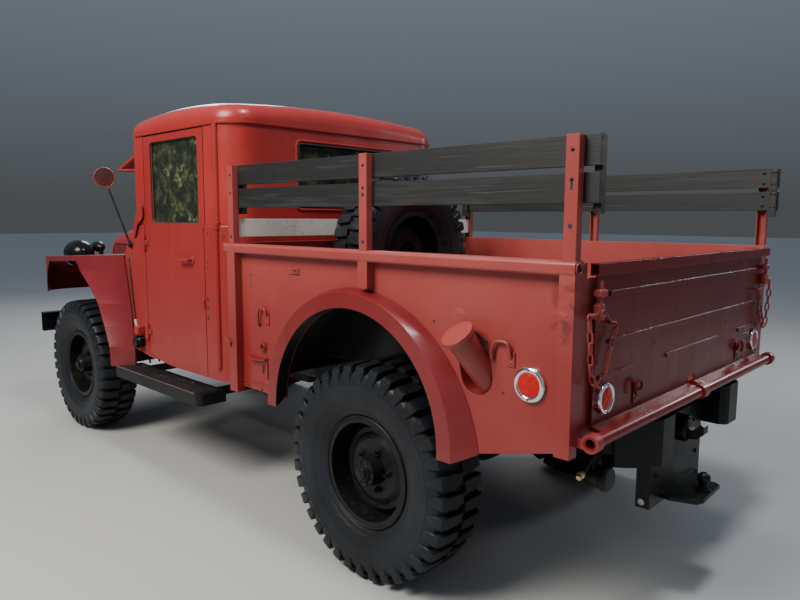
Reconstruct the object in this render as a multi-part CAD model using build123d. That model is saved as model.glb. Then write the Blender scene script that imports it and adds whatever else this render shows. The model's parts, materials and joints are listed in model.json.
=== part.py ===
from build123d import *
import math
import os

# A military cargo truck for three quarters of a ton, with four driven wheels, in millimetres.
# While it is built, y is measured back from the front axle, x to the truck's left and z up
# from the ground. At the end every piece moves forward by MIDDLE, so that the finished
# truck faces -Y with its origin on the ground under the middle of its length.

# Driving dimensions
WHEELBASE = 2845
FRONT_OVERHANG = 819
REAR_OVERHANG = 1030
TRACK = 1575
TYRE_RADIUS = 438
TYRE_WIDTH = 244
RIM_RADIUS = 228
FRAME_HALF_WIDTH = 400
FRAME_TOP = 730
CAB_HALF_WIDTH = 800
BELT_Z = 1395
ROOF_Z = 2068
CAB_REAR = 1785
DOOR_FRONT = 880
DOOR_REAR = 1542
WINDSHIELD_Y = 764
BED_HALF_WIDTH = 869.5
BED_FRONT = CAB_REAR + 150
BED_RAIL_FRONT = BED_FRONT - 45
BED_REAR = WHEELBASE + 912
BED_FLOOR_Z = 815
BED_RAIL_Z = 1320
RACK_Z = 1678
ARCH_RADIUS = 464
FENDER_HALF_WIDTH = BED_HALF_WIDTH + 57.5

MIDDLE = (WHEELBASE + REAR_OVERHANG - FRONT_OVERHANG) / 2
WHEEL_X = TRACK / 2
AXLE_Z = TYRE_RADIUS

# Clearances
SEAT_GAP = 0.3
PANEL_GAP = 6
RUNNING_GAP = 0.05

os.makedirs("parts", exist_ok=True)


def block(x0, x1, y0, y1, z0, z1):
    """A box between two corners."""
    return Pos((x0 + x1) / 2, (y0 + y1) / 2, (z0 + z1) / 2) * Box(x1 - x0, y1 - y0, z1 - z0)


def across(face, x0, x1):
    """Carry a side view, drawn as (y, z), across the truck from x0 to x1."""
    return extrude(Plane.YZ.offset(x0) * face, x1 - x0)


def along(face, y0, y1):
    """Carry a front view, drawn as (x, z), along the truck from y0 to y1."""
    return extrude(Plane.XZ.offset(-y1) * face, y1 - y0)


def upward(face, z0, z1):
    """Carry a plan, drawn as (x, y), up from z0 to z1."""
    return extrude(Plane.XY.offset(z0) * face, z1 - z0)


def outline(*points):
    """A flat face from its corners."""
    return make_face(Polyline(*points, close=True))


def rectangle(u0, u1, v0, v1, radius=0):
    """A flat rectangle between two corners, with round corners where a radius is given."""
    face = Pos((u0 + u1) / 2, (v0 + v1) / 2) * Rectangle(u1 - u0, v1 - v0)
    return fillet(face.vertices(), radius) if radius else face


def circle(u, v, radius):
    return Pos(u, v) * Circle(radius)


def rod(start, end, radius):
    """A straight round bar between two points."""
    path = Vector(*end) - Vector(*start)
    return extrude(Plane(start, z_dir=path) * Circle(radius), path.length)


def cross_tube(y, z, radius, x0, x1):
    """A round bar across the truck."""
    return across(circle(y, z, radius), x0, x1)


def both_sides(shape):
    """A piece and its mirror image on the other side of the truck."""
    return shape + mirror(shape, about=Plane.YZ)


def joined(shapes):
    """All the shapes of a list as one."""
    shapes = list(shapes)
    whole = shapes[0]
    for shape in shapes[1:]:
        whole = whole + shape
    return whole


def save(name, shape):
    export_step(Pos(0, -MIDDLE, 0) * shape, f"parts/{name}.step")


# Wheels. The tyre's lugs stand in two rows, half a pitch apart, and each lug has a flat
# stretch of the tread behind it, so the tyre has as many flats as a row has lugs.
LUGS = 18
LUG_DEPTH = 22
LUG_SHARE = 0.56
SHOULDER_HALF = 110
SIDEWALL_RADIUS = 345
SHOULDER_RADIUS = 402
RIM_BAND_RADIUS = 205
RIM_HALF = 82
RIM_WALL = 6
PITCH = 360 / LUGS


def flats(radius, x, turn=0.0):
    """A polygon with one flat for each lug, in the wheel's own upright plane at x."""
    corner = radius / math.cos(math.radians(PITCH / 2))
    points = [
        (corner * math.sin(math.radians(a)), -corner * math.cos(math.radians(a)))
        for a in (PITCH * (i + 0.5) + turn for i in range(LUGS))
    ]
    return Plane.YZ.offset(x) * outline(*points)


def toothed(turn):
    """The outline of one row of lugs, with a lug's flat top at the bottom when turn is 0."""
    root = TYRE_RADIUS - LUG_DEPTH
    half = PITCH * LUG_SHARE / 2
    # The lug corner nearest the ground, in the other row, stands at the tyre's radius.
    crest = TYRE_RADIUS / math.cos(math.radians(PITCH / 2 - half))
    points = []
    for i in range(LUGS):
        for radius, offset in ((crest, -half), (crest, half), (root, half), (root, PITCH - half)):
            angle = math.radians(PITCH * i + offset + turn)
            points.append((radius * math.sin(angle), -radius * math.cos(angle)))
    return outline(*points)


def tyre():
    """A tyre about the x axis, centred on x = 0, with its outside towards +x."""
    half = TYRE_WIDTH / 2
    body = across(toothed(0), 0, SHOULDER_HALF) + across(toothed(PITCH / 2), -SHOULDER_HALF, 0)
    slope = (SIDEWALL_RADIUS - RIM_RADIUS) / (half - RIM_HALF)
    for side in (-1, 1):
        shoulder = [
            flats(SHOULDER_RADIUS, side * (SHOULDER_HALF - 1)),
            flats(SIDEWALL_RADIUS, side * half),
        ]
        body = body + loft(shoulder, ruled=True)
        dish = [
            flats(SIDEWALL_RADIUS + slope * 2, side * (half + 2)),
            flats(RIM_RADIUS, side * RIM_HALF),
        ]
        body = body - loft(dish, ruled=True)
    bore = loft([flats(RIM_BAND_RADIUS + SEAT_GAP, x) for x in (-half, half)], ruled=True)
    return body - bore


HUB_RADIUS = 62
HUB_NOSE = 104
HUB_BORE = 30
HUB_BORE_END = 60
DRUM_RADIUS = 168
DRUM_BACK = -78
DISC_FACE = 34
DISC_WALL = 8
STUD_CIRCLE = 165
HAND_HOLES = 5


def disc_wheel():
    """The pressed disc and its rim, about the x axis, with the outside towards +x."""
    inner = RIM_BAND_RADIUS - RIM_WALL
    lip = RIM_HALF + SEAT_GAP
    rim = outline(
        (-lip - RIM_WALL, inner),
        (lip + RIM_WALL, inner),
        (lip + RIM_WALL, RIM_RADIUS),
        (lip, RIM_RADIUS),
        (lip, RIM_BAND_RADIUS),
        (-lip, RIM_BAND_RADIUS),
        (-lip, RIM_RADIUS),
        (-lip - RIM_WALL, RIM_RADIUS),
    )
    bend = STUD_CIRCLE / 2 + 38
    disc = outline(
        (DISC_FACE, HUB_RADIUS),
        (DISC_FACE, bend),
        (-6, inner + 1),
        (-6 - DISC_WALL, inner + 1),
        (DISC_FACE - DISC_WALL, bend),
        (DISC_FACE - DISC_WALL, HUB_RADIUS),
    )
    solid = revolve(Plane.XY * (rim + disc), Axis.X)
    hole = across(circle(0, (bend + inner) / 2, 21), -40, 60)
    for i in range(HAND_HOLES):
        solid = solid - Rot(360 / HAND_HOLES * i, 0, 0) * hole
    return solid


def road_wheel():
    """A disc wheel with its hub and brake drum, bored for the stub axle."""
    hub = outline(
        (DRUM_BACK, HUB_BORE + RUNNING_GAP),
        (HUB_BORE_END, HUB_BORE + RUNNING_GAP),
        (HUB_BORE_END, 0),
        (HUB_NOSE, 0),
        (HUB_NOSE, 34),
        (HUB_NOSE - 12, 40),
        (HUB_NOSE - 14, 54),
        (DISC_FACE + 14, HUB_RADIUS),
        (DISC_FACE - DISC_WALL - 6, HUB_RADIUS + 2),
        (DISC_FACE - DISC_WALL - 6, DRUM_RADIUS),
        (DRUM_BACK, DRUM_RADIUS),
    )
    return disc_wheel() + revolve(Plane.XY * hub, Axis.X)


def spare_disc():
    """The spare's wheel, open in the middle, with its five stud holes."""
    solid = disc_wheel()
    stud = across(circle(0, STUD_CIRCLE / 2, 9), -40, 60)
    for i in range(5):
        solid = solid - Rot(72 * i + 36, 0, 0) * stud
    return solid


tyre_shape = tyre()
wheel_shape = road_wheel()
for side, turn in (("left", 0), ("right", 180)):
    for end, y in (("front", 0), ("rear", WHEELBASE)):
        place = Pos(WHEEL_X if side == "left" else -WHEEL_X, y, AXLE_Z) * Rot(0, 0, turn)
        save(f"tyre_{end}_{side}", place * tyre_shape)
        save(f"wheel_{end}_{side}", place * wheel_shape)

# The spare stands in the bed against the front wall, with its disc towards the tailgate.
SPARE_X = -125
FRONT_BOARD_Y = (BED_FRONT + 20, BED_FRONT + 45)
SPARE_Y = FRONT_BOARD_Y[1] + SEAT_GAP + TYRE_WIDTH / 2
spare_place = Pos(SPARE_X, SPARE_Y, BED_FLOOR_Z + SEAT_GAP + TYRE_RADIUS) * Rot(0, 0, 90)
save("spare_tyre", spare_place * tyre_shape)
save("spare_wheel", spare_place * spare_disc())

# Axles and steering
KINGPIN_X = 610
KINGPIN_RADIUS = 18
YOKE_INSIDE = 75
YOKE_WALL = 22
BARREL_RADIUS = 52
AXLE_TUBE_RADIUS = 45
STUB_RADIUS = HUB_BORE
ARM_REACH = 165
ARM_Z = AXLE_Z - 50
TIE_ROD_RADIUS = 15
TIE_PIN_RADIUS = 9
DIFF_X = 110
DIFF_RADIUS = 140

diff_profile = outline((-120, 0), (-120, 46), (-60, 120), (-30, DIFF_RADIUS), (30, DIFF_RADIUS), (60, 120),
                       (120, 46), (120, 0))
differential = revolve(Plane.XY * diff_profile, Axis.X)
yoke_outer = YOKE_INSIDE + YOKE_WALL
yoke_back = KINGPIN_X - BARREL_RADIUS - 6
yoke = along(rectangle(yoke_back - 24, KINGPIN_X, AXLE_Z - yoke_outer, AXLE_Z + yoke_outer), -32, 32)
yoke = yoke + upward(circle(KINGPIN_X, 0, 32), AXLE_Z - yoke_outer, AXLE_Z + yoke_outer)
yoke = yoke - block(yoke_back, KINGPIN_X + 40, -40, 40, AXLE_Z - YOKE_INSIDE, AXLE_Z + YOKE_INSIDE)
yoke = yoke - upward(circle(KINGPIN_X, 0, KINGPIN_RADIUS + RUNNING_GAP), 0, AXLE_Z + yoke_outer + 1)
front_axle = cross_tube(0, AXLE_Z, AXLE_TUBE_RADIUS, -yoke_back + 10, yoke_back - 10)
PINION = (48, DIFF_RADIUS + 40)
front_axle = front_axle + Pos(DIFF_X, 0, AXLE_Z) * differential + both_sides(yoke)
front_axle = front_axle + along(circle(DIFF_X, AXLE_Z, PINION[0]), 100, PINION[1])

hub_inner = WHEEL_X + DRUM_BACK
rear_axle = cross_tube(WHEELBASE, AXLE_Z, AXLE_TUBE_RADIUS + 8, -hub_inner + 8, hub_inner - 8)
rear_axle = rear_axle + Pos(DIFF_X, WHEELBASE, AXLE_Z) * differential
rear_axle = rear_axle + along(circle(DIFF_X, AXLE_Z, PINION[0]), WHEELBASE - PINION[1], WHEELBASE - 100)
rear_axle = rear_axle + cross_tube(WHEELBASE, AXLE_Z, STUB_RADIUS, -WHEEL_X - HUB_BORE_END + 5,
                                   WHEEL_X + HUB_BORE_END - 5)
save("axles", front_axle + rear_axle)


def knuckle():
    """The left steering knuckle, with its kingpin, stub axle and rearward arm."""
    barrel = upward(circle(KINGPIN_X, 0, BARREL_RADIUS), AXLE_Z - YOKE_INSIDE + SEAT_GAP,
                    AXLE_Z + YOKE_INSIDE - SEAT_GAP)
    pin = upward(circle(KINGPIN_X, 0, KINGPIN_RADIUS), AXLE_Z - yoke_outer - 6, AXLE_Z + yoke_outer + 6)
    flange = cross_tube(0, AXLE_Z, 58, KINGPIN_X, hub_inner - 8)
    stub = cross_tube(0, AXLE_Z, STUB_RADIUS, KINGPIN_X, WHEEL_X + HUB_BORE_END - 5)
    arm = block(KINGPIN_X - 14, KINGPIN_X + 14, 0, ARM_REACH, ARM_Z - 9, ARM_Z + 9)
    eye = upward(circle(KINGPIN_X, ARM_REACH, 22), ARM_Z - 9, ARM_Z + 9)
    solid = barrel + pin + flange + stub + arm + eye
    return solid - upward(circle(KINGPIN_X, ARM_REACH, TIE_PIN_RADIUS + RUNNING_GAP), ARM_Z - 20, ARM_Z + 20)


knuckle_left = knuckle()
save("knuckle_left", knuckle_left)
save("knuckle_right", mirror(knuckle_left, about=Plane.YZ))

# The tie rod hangs under both arms, with a pin up through each eye.
tie_z = ARM_Z - 9 - SEAT_GAP - 20
tie_rod = cross_tube(ARM_REACH, tie_z, TIE_ROD_RADIUS, -KINGPIN_X, KINGPIN_X)
tie_end = upward(circle(KINGPIN_X, ARM_REACH, 20), tie_z - 20, tie_z + 20)
tie_end = tie_end + upward(circle(KINGPIN_X, ARM_REACH, TIE_PIN_RADIUS), tie_z, ARM_Z + 16)
save("tie_rod", tie_rod + both_sides(tie_end))

# Frame and springs
RAIL_DEPTH = 140
RAIL_FLANGE = 60
RAIL_WALL = 7
RAIL_FRONT = -FRONT_OVERHANG + 70
RAIL_REAR = BED_REAR - 107
SPRING_WIDTH = 58
LEAF = 8
SPRING_RADIUS = 5600

rail_bottom = FRAME_TOP - RAIL_DEPTH
rail_inner = FRAME_HALF_WIDTH - RAIL_FLANGE
rail = block(rail_inner, FRAME_HALF_WIDTH, RAIL_FRONT, RAIL_REAR, rail_bottom, FRAME_TOP)
rail = rail - block(rail_inner - 1, FRAME_HALF_WIDTH - RAIL_WALL, RAIL_FRONT - 1, RAIL_REAR + 1,
                    rail_bottom + RAIL_WALL, FRAME_TOP - RAIL_WALL)
# Crossmembers: middle along the truck, length along the truck, height
CROSSMEMBERS = [
    (RAIL_FRONT + 45, 90, 90),
    (-551, 60, 126),
    (420, 60, 40),
    (1250, 80, 40),
    (WHEELBASE - 795, 80, 100),
    (WHEELBASE + 285, 70, 100),
    (RAIL_REAR - 40, 80, 126),
]
frame = both_sides(rail)
web = FRAME_HALF_WIDTH - RAIL_WALL
for y, length, height in CROSSMEMBERS:
    low = rail_bottom + RAIL_WALL
    frame = frame + block(-web, web, y - length / 2, y + length / 2, low, low + height)
# Spring hangers under the rails, at both ends of each spring
spring_x = FRAME_HALF_WIDTH - SPRING_WIDTH / 2
# Springs: middle along the truck, half length, top of the axle seat, number of leaves
SPRINGS = [(0, 520, AXLE_Z + AXLE_TUBE_RADIUS, 6), (WHEELBASE, 620, AXLE_Z + AXLE_TUBE_RADIUS + 8, 6)]
springs = None
for middle, half, seat, leaves in SPRINGS:
    centre = seat + SEAT_GAP + SPRING_RADIUS
    pack = None
    for i in range(leaves):
        low = SPRING_RADIUS - i * LEAF
        reach = half * (0.45 + 0.55 * (i + 1) / leaves)
        band = circle(middle, centre, low) - circle(middle, centre, low - LEAF)
        band = band & rectangle(middle - reach, middle + reach, centre - low - 1, centre - low + 300)
        leaf = across(band, spring_x - SPRING_WIDTH / 2, spring_x + SPRING_WIDTH / 2)
        pack = leaf if pack is None else pack + leaf
    end_z = centre - math.sqrt((SPRING_RADIUS - leaves * LEAF) ** 2 - half**2)
    for end in (-1, 1):
        y = middle + end * (half - 20)
        hanger = block(spring_x - SPRING_WIDTH / 2, spring_x + SPRING_WIDTH / 2, y - 25, y + 25,
                       end_z + 4, rail_bottom)
        frame = frame + both_sides(hanger)
    springs = both_sides(pack) if springs is None else springs + both_sides(pack)
save("leaf_springs", springs)
save("frame", frame)

# Front bumper, a straight channel with its open side towards the frame
BUMPER_HALF = 850
BUMPER_DEPTH = 64
BUMPER_Z = (572, 712)
BUMPER_WALL = 7
bumper_front = -FRONT_OVERHANG
bumper = along(rectangle(-BUMPER_HALF, BUMPER_HALF, *BUMPER_Z), bumper_front, bumper_front + BUMPER_DEPTH)
bumper = fillet(bumper.edges().filter_by(Axis.Z).group_by(Axis.Y)[0], 20)
bumper = bumper - block(-BUMPER_HALF - 1, BUMPER_HALF + 1, bumper_front + BUMPER_WALL,
                        bumper_front + BUMPER_DEPTH + 1, BUMPER_Z[0] + BUMPER_WALL,
                        BUMPER_Z[1] - BUMPER_WALL)
horn = block(rail_inner, FRAME_HALF_WIDTH, bumper_front + BUMPER_WALL, RAIL_FRONT - SEAT_GAP,
             rail_bottom + 10, FRAME_TOP - 30)
save("front_bumper", bumper + both_sides(horn))

# Engine, gearbox, transfer case, shafts and fuel tank
ENGINE = (-150, 150, -430, 300)
engine = block(*ENGINE, 640, 1120)
save("engine", engine)
SHAFT_RADIUS = 32
case = (-60, 190, 1380, 1640)
driveline = block(-110, 110, ENGINE[3] + SEAT_GAP, 700, 642, FRAME_TOP - SEAT_GAP)
driveline = driveline + block(-40, 40, 700, case[2], 644, 712)
driveline = driveline + block(*case, 470, 712)
# Shafts: the pinion's end, the case's end
SHAFTS = [(PINION[1] + SEAT_GAP, case[2]), (WHEELBASE - PINION[1] - SEAT_GAP, case[3])]
for pinion_y, case_y in SHAFTS:
    inward = 1 if case_y > pinion_y else -1
    flange_y = sorted((pinion_y, pinion_y + inward * 30))
    driveline = driveline + along(circle(DIFF_X, AXLE_Z, PINION[0]), *flange_y)
    pinion_end = (DIFF_X, pinion_y + inward * 15, AXLE_Z)
    driveline = driveline + rod(pinion_end, (DIFF_X, case_y, 520), SHAFT_RADIUS)
save("driveline", driveline)
TANK = (-290, 290, WHEELBASE + 320 + SEAT_GAP, RAIL_REAR - 80 - SEAT_GAP)
tank_z = (540, 715)
tank = upward(rectangle(*TANK, 50), *tank_z)
save("fuel_tank", tank)

# Radiator and grille
HOOD_SHOULDER = 150
GRILLE_HALF = 352
GRILLE_Y = -640
GRILLE_Z = (FRAME_TOP, 1318)
GRILLE_WALL = 14
SLOTS = 11
SLOT_WIDTH = 34
slot_pitch = 2 * (GRILLE_HALF - 40) / SLOTS
grille_face = rectangle(-GRILLE_HALF, GRILLE_HALF, *GRILLE_Z)
grille_face = fillet(grille_face.vertices().group_by(Axis.Y)[-1], HOOD_SHOULDER)
for i in range(SLOTS):
    x = (i - (SLOTS - 1) / 2) * slot_pitch
    grille_face = grille_face - rectangle(x - SLOT_WIDTH / 2, x + SLOT_WIDTH / 2, GRILLE_Z[0] + 110,
                                          GRILLE_Z[1] - 130, SLOT_WIDTH / 2 - 0.5)
grille = along(grille_face, GRILLE_Y, GRILLE_Y + GRILLE_WALL)
save("grille", grille)
radiator_low = FRAME_TOP - RAIL_WALL + SEAT_GAP
radiator = block(-280, 280, GRILLE_Y + GRILLE_WALL + 40, GRILLE_Y + GRILLE_WALL + 110, radiator_low, 1230)
save("radiator", radiator)

# Hood. Its cross section is a flat-topped arch that widens and rises towards the cowl.
HOOD_FRONT = GRILLE_Y + GRILLE_WALL + PANEL_GAP
HOOD_REAR = 590
HOOD_HALF = (GRILLE_HALF, 430)
HOOD_TOP = (GRILLE_Z[1], BELT_Z + 8)
HOOD_EDGE_Z = 1236
# Hood sections: distance along the truck, top
HOOD_CROWN = [(-500, 1344), (-340, 1367), (-120, 1385), (200, 1397)]
HOOD_WALL = 20
COWL_FRONT = HOOD_REAR + PANEL_GAP
HOOD_HINGE = (HOOD_REAR + PANEL_GAP / 2, HOOD_TOP[1] + 3)


def hood_section(half, top, inset):
    """One section of the hood, with round shoulders, carried on down below its edge."""
    face = rectangle(-half + inset, half - inset, HOOD_EDGE_Z - 200, top - inset)
    return fillet(face.vertices().group_by(Axis.Y)[-1], HOOD_SHOULDER - inset)


def hood_body(inset):
    """The hood's solid form, drawn in by inset."""
    sections = []
    for y, top in [(HOOD_FRONT, HOOD_TOP[0]), *HOOD_CROWN, (HOOD_REAR, HOOD_TOP[1])]:
        share = (y - HOOD_FRONT) / (HOOD_REAR - HOOD_FRONT)
        half = HOOD_HALF[0] + share * (HOOD_HALF[1] - HOOD_HALF[0])
        sections.append(Plane.XZ.offset(-y) * hood_section(half, top, inset))
    return loft(sections, ruled=True)


above_edge = block(-CAB_HALF_WIDTH, CAB_HALF_WIDTH, HOOD_FRONT - 1, WINDSHIELD_Y, HOOD_EDGE_Z, BELT_Z + 100)
hood = (hood_body(0) & above_edge) - hood_body(HOOD_WALL)
# The hood hinge lies on top: leaves on the hood turn about a pin held by the cowl.
# Leaves: middle across the truck, width
HOOD_KNUCKLES = [(-220, 60), (220, 60)]
HOOD_PIN_RADIUS = 5
HOOD_KNUCKLE_RADIUS = 9
HOOD_LEAF_HALF = 6
HOOD_EAR = 20
hood_clear = HOOD_KNUCKLE_RADIUS + 3
leaf_z = (HOOD_TOP[1] - HOOD_LEAF_HALF, HOOD_TOP[1] + HOOD_LEAF_HALF)
for x, width in HOOD_KNUCKLES:
    left, right = x - width / 2, x + width / 2
    hood = hood - cross_tube(*HOOD_HINGE, hood_clear, left - HOOD_EAR - 4, right + HOOD_EAR + 4)
    leaf = cross_tube(*HOOD_HINGE, HOOD_KNUCKLE_RADIUS, left, right)
    leaf = leaf + block(left, right, HOOD_REAR - 40, HOOD_HINGE[0], *leaf_z)
    hood = hood + leaf - cross_tube(*HOOD_HINGE, HOOD_PIN_RADIUS + RUNNING_GAP, left - 1, right + 1)
save("hood", hood)

# Front fenders. The top plate is a side view cut to a plan, with a turned-down edge, and
# the skirt behind the wheel is a folded strip that runs from the cowl out to the lip and
# back in behind the tyre.
FENDER_SKIN = 5
FENDER_FRONT = -575
FENDER_INNER = 432
FENDER_REAR = COWL_FRONT
LIP_DROP = 30
fender_top = (1160, 1206)
nose_radius = 150
nose_low = 905
FENDER_CORNER = 206
FENDER_FOLD_Y = 130
# The front edge of the wheel opening, on the fender's side
NOSE_EDGE = [(-430, nose_low), (-398, 1030), (-330, 1130)]


def fender_side(drop):
    """The fender's side view down from its top, pulled in by drop."""
    front_top = fender_top[0] - drop
    edge = FENDER_FRONT + drop
    arc = ThreePointArc(
        (edge, front_top - nose_radius),
        (edge + nose_radius * 0.293, front_top - nose_radius * 0.293),
        (edge + nose_radius, front_top),
    )
    rest = Polyline(
        (edge + nose_radius, front_top),
        (FENDER_REAR, fender_top[1] - drop),
        (FENDER_REAR, nose_low),
        (edge, nose_low),
        (edge, front_top - nose_radius),
    )
    return make_face(arc + rest)


def fender_plan(inset):
    """The fender's plan, with its outer edge pulled in by inset."""
    x = FENDER_HALF_WIDTH - inset
    front = FENDER_FRONT + inset
    face = outline(
        (FENDER_INNER, front),
        (x, front),
        (x, FENDER_FOLD_Y),
        (CAB_HALF_WIDTH + 10 - inset, FENDER_REAR),
        (FENDER_INNER, FENDER_REAR),
    )
    corner = face.vertices().group_by(Axis.Y)[0].sort_by(Axis.X)[-1]
    return fillet(corner, FENDER_CORNER - inset)


def fender_opening():
    """The side view of what is open under the fender's edge."""
    low = nose_low - 1
    rest = Polyline(
        NOSE_EDGE[2],
        (FENDER_REAR + 1, fender_top[1] - LIP_DROP),
        (FENDER_REAR + 1, low),
        (NOSE_EDGE[0][0], low),
        NOSE_EDGE[0],
    )
    return make_face(ThreePointArc(*NOSE_EDGE) + rest)


fender_solid = across(fender_side(0), FENDER_INNER, FENDER_HALF_WIDTH)
fender_sheet = fender_solid - across(fender_side(FENDER_SKIN), FENDER_INNER - 1, FENDER_HALF_WIDTH + 1)
fender_sheet = fender_sheet & upward(fender_plan(0), nose_low, fender_top[1] + 10)
fender_edge = upward(fender_plan(0) - fender_plan(FENDER_SKIN), nose_low, fender_top[1] + 10)
opening = across(fender_opening(), FENDER_INNER - 1, FENDER_HALF_WIDTH + 1)
fender = fender_sheet + (fender_edge & (fender_solid - opening))

# Skirt sections: height, lip's y, cowl end's y, inner end's x and y
lip_x = FENDER_HALF_WIDTH
BOARD_Z = 524
SKIRT = [
    (BOARD_Z + SEAT_GAP, 619, 700, 720, 598),
    (645, 609, 700, 720, 575),
    (763, 549, 684, 720, 525),
    (902, 465, 665, 720, 443),
    (998, 349, 643, 720, 332),
    (1096, 200, 620, 720, 190),
    (1181, FENDER_FOLD_Y + 2, 604, 720, FENDER_FOLD_Y),
]


def skirt_section(z, lip_y, cowl_y, inner_x, inner_y):
    """A folded strip: cowl end, lip, inner end, and back along its other face."""
    s = FENDER_SKIN
    cowl_x = CAB_HALF_WIDTH + SEAT_GAP + 2 * s
    points = [
        (cowl_x, cowl_y),
        (lip_x, lip_y),
        (lip_x - 6, lip_y - 14),
        (inner_x, inner_y - s),
        (inner_x, inner_y + s),
        (lip_x - 14, lip_y + s),
        (cowl_x - 2 * s, cowl_y),
    ]
    return Plane.XY.offset(z) * outline(*points)


skirt = loft([skirt_section(*row) for row in SKIRT], ruled=True)
fender = fender + skirt
# The apron inside the wheel, from the top plate down to the frame
apron_side = outline((-480, 760), (560, 760), (560, 1180), (-480, 1150))
apron = across(apron_side, FENDER_INNER, FENDER_INNER + FENDER_SKIN)
fender = fender + apron
HOOD_SIDE_WALL = 8
hood_side = outline(
    (HOOD_FRONT + 20, 1150),
    (HOOD_REAR, 1190),
    (HOOD_REAR, HOOD_EDGE_Z - PANEL_GAP),
    (HOOD_FRONT + 20, HOOD_EDGE_Z - PANEL_GAP),
)
hood_side = across(hood_side, 0, HOOD_SIDE_WALL)
HOOD_SIDE_TURN = math.degrees(math.atan2(HOOD_HALF[1] - HOOD_HALF[0], HOOD_REAR - HOOD_FRONT))
hood_side = Rot(0, 0, -HOOD_SIDE_TURN) * Pos(0, -HOOD_REAR, 0) * hood_side
hood_side = Pos(HOOD_HALF[1] - HOOD_SIDE_WALL - 1, HOOD_REAR, 0) * hood_side
inner_plan = outline(
    (HOOD_HALF[0] - 8, FENDER_FRONT + nose_radius),
    (FENDER_INNER + 1, FENDER_FRONT + nose_radius),
    (FENDER_INNER + 1, FENDER_REAR),
    (HOOD_HALF[1] - 12, FENDER_REAR),
)
inner_top = upward(inner_plan, fender_top[0] - 20, fender_top[1] + 14)
inner_top = inner_top & (across(fender_side(0), 300, 500) - across(fender_side(FENDER_SKIN), 299, 501))
fender = fender + inner_top + hood_side

LAMP_X = 668
LAMP_Y = -455
LAMP_Z = 1172
LAMP_RADIUS = 96
LAMP_DEPTH = 175
LAMP_FRONT = LAMP_Y - 60


def bowl(radius, depth):
    """A round lamp body with its lens at y = 0 and a domed back with a small flat tip."""
    shoulder = depth * 0.3
    tip = radius / 8
    wall = Polyline((0, depth), (0, 0), (radius, 0), (radius, shoulder))
    dome = ThreePointArc((radius, shoulder), (radius * 0.8, depth * 0.72), (tip, depth))
    return revolve(make_face(wall + dome + Line((tip, depth), (0, depth))), Axis.Y)


# The fender is open round the lamp and in front of it.
lamp_hole = along(circle(LAMP_X, LAMP_Z, LAMP_RADIUS + SEAT_GAP), FENDER_FRONT - 20, LAMP_FRONT + SEAT_GAP)
fender = fender - lamp_hole
fender = fender - Pos(LAMP_X, LAMP_FRONT, LAMP_Z) * bowl(LAMP_RADIUS + SEAT_GAP, LAMP_DEPTH + SEAT_GAP)
save("front_fenders", both_sides(fender))

# Headlamps: a bowl that closes to the rear in a dome, and a small marker lamp inboard
MARKER_RADIUS = 42
MARKER = (530, LAMP_Y - 40, fender_top[0] + MARKER_RADIUS + 12)
headlamp = Pos(LAMP_X, LAMP_FRONT, LAMP_Z) * bowl(LAMP_RADIUS, LAMP_DEPTH)
marker = Pos(*MARKER) * bowl(MARKER_RADIUS, 105)
marker_foot = upward(circle(MARKER[0], MARKER[1] + 80, 16), fender_top[0] + 1 + SEAT_GAP, MARKER[2])
save("headlamps", both_sides(headlamp) + both_sides(marker + marker_foot))

# Cab
CAB_WALL = 40
CAB_CORNER = 170
CAB_FLOOR = (FRAME_TOP, FRAME_TOP + 24)
CAB_BOTTOM = 586
COWL_TOP_Y = 790
DOOR_WALL = 45
DOOR_TOP = ROOF_Z - 168
DOOR_BOTTOM = 590


def cab_plan(front, half, inset):
    """The cab's plan from a straight front to its round rear corners."""
    face = rectangle(-half + inset, half - inset, front + inset, CAB_REAR - inset)
    rear = face.vertices().group_by(Axis.Y)[-1]
    return fillet(rear, CAB_CORNER - inset)


cowl_side = outline(
    (COWL_FRONT, CAB_BOTTOM + 60),
    (COWL_FRONT, 1216),
    (COWL_FRONT + 30, 1262),
    (COWL_TOP_Y, BELT_Z),
    (CAB_REAR + 1, BELT_Z),
    (CAB_REAR + 1, CAB_BOTTOM),
    (DOOR_FRONT, CAB_BOTTOM + 20),
)
cowl_inner = outline(
    (COWL_FRONT + CAB_WALL, CAB_FLOOR[1]),
    (COWL_FRONT + CAB_WALL, 1225),
    (COWL_FRONT + 70, 1262),
    (COWL_TOP_Y, BELT_Z - 26),
    (COWL_TOP_Y, BELT_Z + 1),
    (CAB_REAR + 1, BELT_Z + 1),
    (CAB_REAR + 1, CAB_FLOOR[1]),
)
cab_outer = upward(cab_plan(COWL_FRONT - 1, CAB_HALF_WIDTH, 0), CAB_BOTTOM, BELT_Z)
cab_outer = cab_outer & across(cowl_side, -CAB_HALF_WIDTH, CAB_HALF_WIDTH)
cab_inner = upward(cab_plan(COWL_FRONT - CAB_WALL, CAB_HALF_WIDTH, CAB_WALL), CAB_FLOOR[1], BELT_Z + 1)
cab_inner = cab_inner & across(cowl_inner, -CAB_HALF_WIDTH, CAB_HALF_WIDTH)
cab_body = cab_outer - cab_inner
# Under the floor the cab is open between its sills.
sill = CAB_HALF_WIDTH - DOOR_WALL - 50
cab_body = cab_body - block(-sill, sill, COWL_FRONT + 30, CAB_REAR - CAB_WALL, CAB_BOTTOM - 1, CAB_FLOOR[0])
notch = FRAME_HALF_WIDTH + 24
cab_body = cab_body - block(-notch, notch, CAB_REAR - CAB_WALL - 1, CAB_REAR + 1, CAB_BOTTOM - 1,
                            CAB_FLOOR[0])
cab_body = cab_body - block(-sill, sill, COWL_FRONT - 5, COWL_FRONT + 60, CAB_BOTTOM - 1, CAB_FLOOR[0])
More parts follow.
